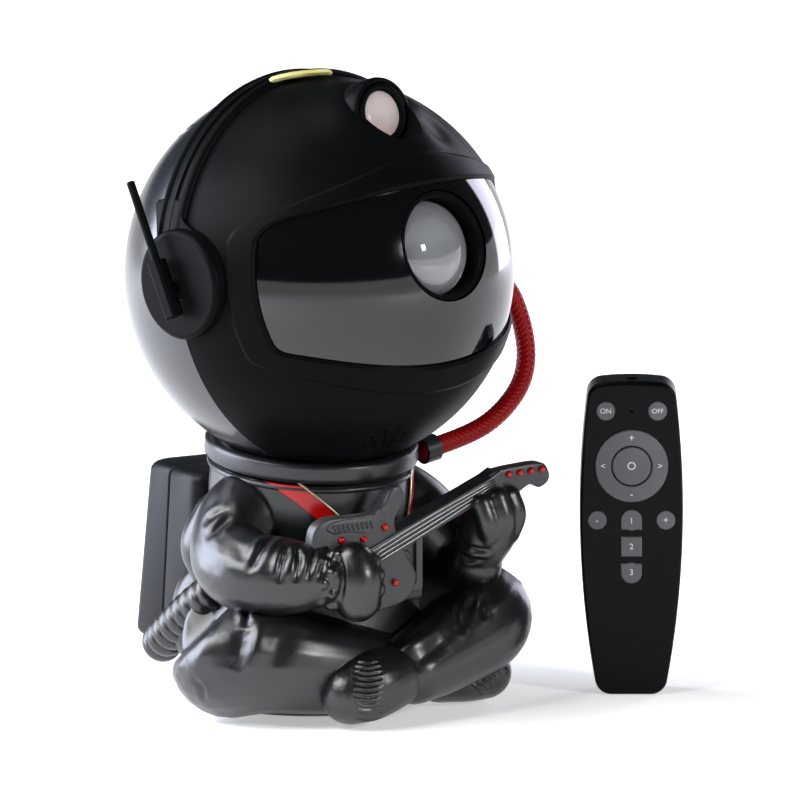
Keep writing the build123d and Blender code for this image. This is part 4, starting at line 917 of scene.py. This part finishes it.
def boxAt(x, y, halfX, halfY):
    return [(x - halfX, y - halfY), (x + halfX, y - halfY), (x + halfX, y + halfY), (x - halfX, y + halfY)]


def makeGuitar():
    low, rim, top, rise = -guitar["thickness"], guitar["rim"], guitar["boardRise"], guitar["plateRise"]
    raisedPlate("guitarBody", smoothLoop(guitar["body"], 8), onGuitar, low, 0, rim, pewterPaint, "figure",
                ["guitar"])
    raisedPlate("guitarHead", smoothLoop(guitar["head"], 8), onGuitar, low, 0, rim, pewterPaint)
    raisedPlate("guitarNeck", guitar["neck"], onGuitar, -guitar["neckDepth"], top, 0.35, pewterPaint)
    plate = smoothLoop([guitarPlace(pixel) for pixel in guitar["plate"]], 6)
    raisedPlate("pickPlate", plate, onGuitar, -1, rise, 0.3, pewterPaint)
    (u, v), (right, down) = guitar["firstBar"], guitar["barStep"]
    for k in range(guitar["bars"]):
        corners = boxAt(*guitarPlace((u + right * k, v + down * k)), *guitar["barHalf"])
        raisedPlate(f"pickBar{k}", corners, onGuitar, rise - 0.1, rise + 0.45, 0.18, graphitePaint)
    start, middle, end = guitar["stringEnds"]
    for k in range(guitar["strings"]):
        y = guitar["firstString"] + guitar["stringStep"] * k
        places = ((start - 0.35 * k, y), (middle, y), (end, y * guitar["stringPinch"]))
        line = smoothLine([onGuitar(x, z + 0.5, top + 0.45) for x, z in places], 6)
        tubeAlong(f"string{k}", line, [guitar["stringRadius"]] * 13, zincPlate, "figure", around=10)
    low, high = guitar["fretEnds"]
    for k, x in enumerate(guitar["frets"]):
        corners = boxAt(x, (low + high) / 2, guitar["fretHalf"], (high - low) / 2)
        raisedPlate(f"fret{k}", corners, onGuitar, top - 0.1, top + 0.3, 0.1, pewterPaint)
    for k, (x, y) in enumerate([*guitar["studs"], *guitar["tuners"]]):
        turnedPiece(f"stud{k}", guitar["stud"], onGuitar(x, y, 0) * mm, (0, -1, 0), redEnamel, "figure",
                    ["guitar_studs"] if k == 0 else (), spokes=28)


makeGuitar()
print("guitar made")

# the star laser looks straight ahead out of a short barrel in the crown, under a small hood
laser = {
    "barrel": [(8.3, -6), (11.2, -6), (11.2, 0.6), (10.9, 1.2), (10.2, 1.5), (9.3, 1.4), (8.6, 0.9),
               (8.3, 0.2)],
    "window": [(8.35, -2.0), (8.35, -0.2), (8.2, 0.0), (5, 0.35), (0.05, 0.45)],
    "hood": [(11.3, -7), (11.3, 0.4), (11.8, 1.1), (12.5, 1.2), (13.1, 0.7), (13.4, -0.6), (13.3, -5),
             (12.4, -11), (10.6, -17), (8.0, -22), (4, -25)],
}
turnedPiece("laserBarrel", laser["barrel"], laserSeat, headFront, softTouchAbs, "head",
            ["laser_bezel", "laser_module"], 72, True)
turnedPiece("laserPane", laser["window"], laserSeat, headFront, opalAcrylic, "head", ["laser_window"], 72)
turnedPiece("laserHood", laser["hood"], laserSeat, headFront, softTouchAbs, "head", (), 72, True)
print("laser made")

# the nebula lens is a clear half ball in a thin ring that stands through the visor
lens = {"ball": 17.2, "station": 57.0, "front": 8.6, "back": 12.0, "steps": 20,
        "ring": [(17.7, 46), (19.9, 46), (19.9, 65.0), (19.5, 65.5), (18.2, 65.5), (17.7, 64.9)]}


def lensProfile():
    # radius and height of the back half, then of the front half, from its rim to its pole
    quarter = [pi / 2 * k / lens["steps"] for k in range(lens["steps"] + 1)]
    back = [(lens["ball"] * sin(angle) + 0.01, -lens["back"] * cos(angle)) for angle in quarter[:-1]]
    return back + [(lens["ball"] * cos(angle) + 0.01, lens["front"] * sin(angle)) for angle in quarter]


lensCentre = headCentre + headFront * lens["station"] * mm
turnedPiece("nebulaBall", lensProfile(), lensCentre, headFront, clearAcrylic, "head", ["nebula_lens"], 72)
turnedPiece("lensRing", lens["ring"], headCentre, headFront, softTouchAbs, "head", ["lens_hood"], 96, True)
print("lens made")

# the control box: a framed panel with a knob and a raised scroll
panel = {
    "front": 42.5, "outer": (21.3, 44.6, 68.2), "inner": (18.3, 47.2, 66.2), "bar": 1.3,
    "face": (16.2, 47.2, 66.0), "faceRise": 0.5, "corner": 1.2,
    "knob": [(2.1, 0), (2.15, 1.2), (1.9, 1.6), (1.2, 1.75), (0.05, 1.8)], "knobAt": (402.9, 555),
    "scroll": [(384, 555), (385.5, 562), (387.6, 569.5), (393, 575.2), (399, 573.8), (404, 576.2),
               (404.6, 583)],
    "scrollRadius": 0.45, "block": (22, 41.5, 69, 1.5), "blockCut": 4.4, "blockDepth": 14, "blockBevel": 0.8,
}


def onPanel(x, z, out):
    return Vector((x, -panel["front"] - out, z))


def panelPlace(pixel):
    ray = pixelRay(pixel)
    spot = (eye + ray * ((-panel["front"] * mm - eye.y) / ray.y)) / mm
    return spot.x, spot.z


def roundedBox(half, low, high, corner):
    places = []
    for x, z, start in ((half, low, -90), (half, high, 0), (-half, high, 90), (-half, low, 180)):
        middleX = x - corner if x > 0 else x + corner
        middleZ = z + corner if z == low else z - corner
        for k in range(5):
            angle = radians(start + 22.5 * k)
            places.append((middleX + corner * cos(angle), middleZ + corner * sin(angle)))
    return places


def makePanel():
    outer, inner = (roundedBox(*panel[key], panel["corner"]) for key in ("outer", "inner"))
    bar, count = panel["bar"], len(outer)
    rows = [(outer, -1.0), (outer, bar - 0.4), (shrunk(outer, 0.3), bar), (shrunk(inner, -0.3), bar),
            (inner, bar - 0.4), (inner, -1.0)]
    points = [onPanel(x, z, out) * mm for row, out in rows for x, z in row]
    faces = gridFaces(len(rows), count, closeRows=True)
    newPiece("panelFrame", points, faces, pewterPaint, "figure", sharp=50)
    block = [(x + panel["blockCut"] if x < 0 else x, z) for x, z in roundedBox(*panel["block"])]
    raisedPlate("panelBlock", block, onPanel, -panel["blockDepth"], 0, panel["blockBevel"], pewterPaint,
                "figure", ["control_box"])
    raisedPlate("panelFace", roundedBox(*panel["face"], panel["corner"]), onPanel, -1, panel["faceRise"], 0.3,
                pewterPaint)
    x, z = panelPlace(panel["knobAt"])
    turnedPiece("panelKnob", panel["knob"], onPanel(x, z, panel["faceRise"] - 0.1) * mm, (0, -1, 0),
                pewterPaint, "figure", spokes=32)
    line = smoothLine([panelPlace(pixel) for pixel in panel["scroll"]], 6)
    places = [tuple(onPanel(x, z, panel["faceRise"])) for x, z in line]
    tubeAlong("panelScroll", places, [panel["scrollRadius"]] * len(places), pewterPaint, "figure", around=10)


makePanel()


def makePiping():
    # a thin gilt cord along the inner edge of each strap
    for side, foot in straps["pipingFoot"].items():
        places = []
        for z in np.linspace(straps[side][0][1], foot, 14):
            x = strapEdge(side, z)
            away = torsoRadius(z) + straps["pipingRise"]
            places.append((x, -(away ** 2 - x ** 2) ** 0.5, z))
        tubeAlong(f"{side}Piping", places, [straps["piping"]] * len(places), paleGilt, "figure", around=12)


makePiping()

# the collar turns on the neck; its foot ring stays with the figure
collar = {
    "ring": [(27.5, 8.3), (30.2, 9.6), (33.9, 11.4), (36.9, 11.4), (37.8, 11.15), (38.3, 10.5), (38.4, 9.8),
             (38.4, 6.4), (38.25, 5.5), (37.7, 4.75), (36.9, 4.3), (36, 4.2), (27.5, 4.2)],
    "foot": [(33, 2.9), (36.2, 2.9), (36.9, 2.5), (37.1, 1.8), (36.9, 1.1), (36.2, 0.7), (33, 0.7)],
}
turnedPiece("collarRing", collar["ring"], neckBase, neckUp, graphitePaint, "collar", ["neck_collar"], 160,
            True)
turnedPiece("neckFoot", collar["foot"], neckBase, neckUp, graphitePaint, "figure", (), 160, True)
print("collar made")

# the pack: a front and a back half that meet in a groove, and a round pod up each side
pack = {
    "levels": (16.0, 80.5), "half": (35.0, 31.2), "front": 27.0, "back": (69.5, 65.0), "seam": 47.0,
    "corner": 6.0, "edge": 3.5, "groove": 0.7,
    "pod": [(33.6, 54.0, 21.5, 4.7), (33.4, 54.0, 24.0, 4.9), (32.2, 54.0, 54.5, 4.7),
            (32.1, 54.0, 56.5, 4.5)],
}


def packOutline(height, inset, part):
    share = (height - pack["levels"][0]) / (pack["levels"][1] - pack["levels"][0])
    half, back = (pack[key][0] + (pack[key][1] - pack[key][0]) * share - inset for key in ("half", "back"))
    corner, groove, seam = pack["corner"], pack["groove"], pack["seam"]
    way, wall = (1, back) if part == "back" else (-1, pack["front"] + inset)
    side = [(half - groove, seam + way * 0.15), (half - 0.25 * groove, seam + way * groove * 0.7),
            (half, seam + way * groove * 1.5)]
    for k in range(7):
        angle = radians(15 * k)
        side.append((half - corner + corner * cos(angle), wall - way * corner * (1 - sin(angle))))
    return [*side, *[(-x, y) for x, y in reversed(side)]]


def makePack():
    low, high = pack["levels"]
    edge = pack["edge"]
    steps = [(edge * (1 - sin(radians(18 * k))), edge * (1 - cos(radians(18 * k)))) for k in range(6)]
    rows = [(low + rise, inset) for inset, rise in steps]
    rows += [(high - rise, inset) for inset, rise in reversed(steps)]
    for part, name, node in (("front", "packFront", "backpack_shell"),
                             ("back", "packBack", "backpack_cover")):
        points = [(x * mm, y * mm, height * mm) for height, inset in rows
                  for x, y in packOutline(height, inset, part)]
        faces = gridFaces(len(rows), len(points) // len(rows), caps=True)
        newPiece(name, points, faces, charcoalPaint, "figure", [node], 40)
    for side, name in ((-1, "rightPod"), (1, "leftPod")):
        line = smoothLine([(side * x, y, z, r) for x, y, z, r in pack["pod"]], 8)
        caps = [(1 - cos(radians(15 * k)), max(sin(radians(15 * k)), 0.08)) for k in range(6)]
        (*low, lowRadius), (*high, highRadius) = line[0], line[-1]
        places = [(*low[:2], low[2] - lowRadius * (1 - lift)) for lift, _ in caps]
        places += [tuple(place[:3]) for place in line]
        places += [(*high[:2], high[2] + highRadius * (1 - lift)) for lift, _ in reversed(caps)]
        radii = [lowRadius * share for _, share in caps] + [place[3] for place in line]
        radii += [highRadius * share for _, share in reversed(caps)]
        tubeAlong(name, places, radii, softTouchAbs, "figure", around=32)


makePack()
print("pack made")

# the breathing tube: rounded rings with sharp grooves between them, on a slightly bowed line
breather = {
    "line": [(-39.0, -2.5, 44.5), (-41.0, 8, 37.5), (-41.5, 20, 29.5), (-41.0, 32, 21.5),
             (-39.5, 39.5, 17.2)],
    "groove": 5.7, "ring": 7.4, "rings": 9, "tip": 1.2,
}


def makeBreather():
    line, length = evenly(smoothLine(breather["line"], 20), 0.4)
    run = np.linspace(0, 1, len(line))
    bulge = np.abs(np.sin(pi * run * breather["rings"])) ** 0.55
    radii = breather["groove"] + (breather["ring"] - breather["groove"]) * bulge
    radii *= 1 - 0.35 * np.exp(-(run * length / breather["tip"]) ** 2)
    tubeAlong("breatherTube", line, radii, lacqueredVinyl, "figure", ["breathing_tube"], around=64)


makeBreather()
print("breathing tube made")

# the band's ends widen into the ear cups, and a faded stripe runs along its front edge
band = {
    "profile": [(-8.8, 69.2), (-8.8, 71.9), (-8.3, 72.6), (-7.5, 72.8), (-6.9, 72.5), (-6.3, 71.9),
                (-5.7, 72.4), (-2.7, 72.4), (-2.1, 71.6), (-0.6, 71.6), (0.2, 72.5), (1.7, 72.6),
                (2.8, 72.0), (3.2, 71.0),
                (3.2, 69.2)],
    "endAngle": 14, "steps": 150,
    "flare": [(161, 204), (172, 200), (184, 202), (185.5, 212), (188, 223), (198, 233), (208, 243),
              (215, 256), (220, 272), (214, 290), (196, 300), (176, 296), (166, 276), (162, 250), (161, 222)],
    "flareLevel": (69.6, 72.3),
    "stripe": [(272, 87.5), (286, 84), (302, 81.4), (318, 79.6), (331, 79.5), (329, 76.6), (314, 77),
               (298, 78.6), (284, 81), (272, 84.5)],
    "stripeLevel": (71.6, 72.75),
}


def onBall(pixel, radius):
    ray = pixelRay(pixel)
    start = eye - headCentre
    half = ray.dot(start)
    away = -half - (half * half - start.dot(start) + (radius * mm) ** 2) ** 0.5
    return start + ray * away


def ballPlate(name, outline, level, material, side=1):
    # a plate that follows the ball, its outline given in the camera's frame; side -1 puts it on the other ear
    outline = smoothLoop(outline, 5)
    middle = outline.mean(0)
    low, high = level
    rows = [(1, low), (1, high - 0.5), (0.985, high - 0.15), (0.95, high)]
    rows += [(share, high) for share in (0.85, 0.7, 0.5, 0.3, 0.1)]
    points = []
    for share, radius in rows:
        for pixel in middle + (outline - middle) * share:
            place = onBall(pixel, helmet["radius"])
            if side < 0:
                place = place - 2 * headX * place.dot(headX)
            points.append(headCentre + place.normalized() * radius * mm)
    newPiece(name, points, gridFaces(len(rows), len(outline), caps=True), material, "head")


def makeBand():
    profile, steps = band["profile"], band["steps"]
    points = []
    for k in range(steps + 1):
        angle = radians(band["endAngle"] + (180 - 2 * band["endAngle"]) * k / steps)
        way = seamUp * sin(angle) - headX * cos(angle)
        points += [headCentre + (way * radius + seamFront * along) * mm for along, radius in profile]
    faces = gridFaces(steps + 1, len(profile), caps=True)
    newPiece("bandStrip", points, faces, softTouchAbs, "head", ["headband"], 40)


makeBand()
for side, name in ((1, "rightFlare"), (-1, "leftFlare")):
    ballPlate(name, band["flare"], band["flareLevel"], softTouchAbs, side)
ballPlate("bandStripe", band["stripe"], band["stripeLevel"], yellowLacquer)
print("band made")

# printing on the remote's keys: text, place on the face, height and the body that it rides on
remote = {
    "place": (108.0, -43.0), "turn": -30, "face": 9.9, "print": 0.05,
    "labels": [("ON", -9.3, 103.5, 2.6, "key_on"), ("OFF", 9.3, 103.5, 2.4, "key_off"),
               ("+", 0, 93.7, 3.6, "key_ring"), ("-", 0, 73.3, 3.6, "key_ring"),
               ("<", -10.2, 83.5, 3.2, "key_ring"), (">", 10.2, 83.5, 3.2, "key_ring"),
               ("O", 0, 83.5, 4.0, "key_centre"), ("-", -12.3, 63.8, 3.4, "key_laser_down"),
               ("+", 12.3, 63.8, 3.4, "key_laser_up"), ("1", 0, 63.6, 3.0, "key_mode"),
               ("2", 0, 54.2, 3.0, "key_square"), ("3", 0, 44.8, 3.0, "key_round")],
}


def makeLabels():
    turn = radians(remote["turn"])
    across, out = Vector((cos(turn), sin(turn), 0)), Vector((sin(turn), -cos(turn), 0))
    for k, (text, x, height, size, body) in enumerate(remote["labels"]):
        words = bpy.data.curves.new("words", "FONT")
        words.body, words.size, words.extrude = text, size * mm, remote["print"] * mm
        words.align_x, words.align_y = "CENTER", "CENTER"
        shaped = placed("words", words)
        bpy.context.view_layer.update()
        mesh = bpy.data.meshes.new_from_object(shaped)
        bpy.data.objects.remove(shaped)
        at = (Vector((*remote["place"], height)) + across * x + out * remote["face"]) * mm
        turned = Matrix((across, (0, 0, 1), out)).transposed().to_4x4()
        mesh.transform(Matrix.Translation(at) @ turned)
        dress(placed(f"keyPrint{k}", mesh), printInk, (), body)


makeLabels()
print("remote printed")

stage = {"reach": 9.0, "wall": 0.6, "spokes": 96, "near": 0.42, "bright": (0.4, 1.5)}


def makeStudio():
    # a round pale floor with a low wall far out; what the light doesn't reach stays pale by a glow of its own
    rings = [(0.01, 0), (stage["reach"], 0), (stage["reach"], stage["wall"])]
    points = [(radius * x, radius * y, height)
              for radius, height in rings for x, y in circle(stage["spokes"])]
    mesh = bpy.data.meshes.new("floor")
    mesh.from_pydata(points, [], [tuple(range(stage["spokes"])), *gridFaces(len(rings), stage["spokes"])])
    floor = placed("floor", mesh)
    paper, tree, shader = newMaterial("whitePaper", {
        "Base Color": toLinear("#f0f0f0"), "Roughness": 0.8, "Specular IOR Level": 0.1})
    spot = addNode(tree, "ShaderNodeNewGeometry").outputs["Position"]
    away = addNode(tree, "ShaderNodeVectorMath", {"operation": "LENGTH"}, {0: spot}).outputs["Value"]
    start, end = stage["bright"]
    glow = addNode(tree, "ShaderNodeMapRange", {
        "From Min": start, "From Max": end, "To Min": stage["near"], "To Max": 1.0}, {"Value": away})
    path = addNode(tree, "ShaderNodeLightPath").outputs

    def combined(kind, first, second):
        return addNode(tree, "ShaderNodeMath", {"operation": kind}, {0: first, 1: second}).outputs[0]

    seen = combined("MAXIMUM", path["Is Camera Ray"], path["Is Glossy Ray"])
    seen = combined("MAXIMUM", seen, path["Is Transmission Ray"])
    strength = combined("MULTIPLY", glow.outputs["Result"], seen)
    shader.inputs["Emission Color"].default_value = (1, 1, 1, 1)
    tree.links.new(strength, shader.inputs["Emission Strength"])
    floor.data.materials.append(paper)


def addLamp(name, place, target, size, power, colour="#ffffff"):
    data = bpy.data.lights.new(name, "AREA")
    data.shape, data.size, data.size_y, data.energy = "RECTANGLE", size[0], size[1], power
    data.color = toLinear(colour)[:3]
    lamp = placed(name, data)
    lamp.location = Vector(place)
    lamp.rotation_euler = (Vector(place) - Vector(target)).to_track_quat("Z", "Y").to_euler()
    lamp.visible_camera = False


def makeLights():
    world = bpy.data.worlds.new("studio")
    world.use_nodes = True
    sky = world.node_tree.nodes["Background"].inputs
    sky["Color"].default_value, sky["Strength"].default_value = toLinear("#dfe6f2"), 0.06
    bpy.context.scene.world = world
    # place, what it looks at, size in m, and watts
    addLamp("leftBack", (-1.0, 0.85, 0.45), (0, 0, 0.12), (1.1, 1.1), 44, "#e4ecff")
    addLamp("leftFront", (-1.07, 0.03, 1.06), (0, 0, 0.1), (1.0, 0.8), 24)
    addLamp("front", (0.62, -1.39, 0.64), (0, 0, 0.12), (0.16, 0.16), 10)
    addLamp("right", (1.25, 0.5, 0.35), (0, 0, 0.14), (0.55, 0.9), 9, "#efe9ff")
    addLamp("top", (-0.35, 0.5, 1.7), (0, 0, 0.1), (0.8, 0.8), 7)


makeStudio()
makeLights()
bpy.context.scene.view_settings.view_transform = "Standard"
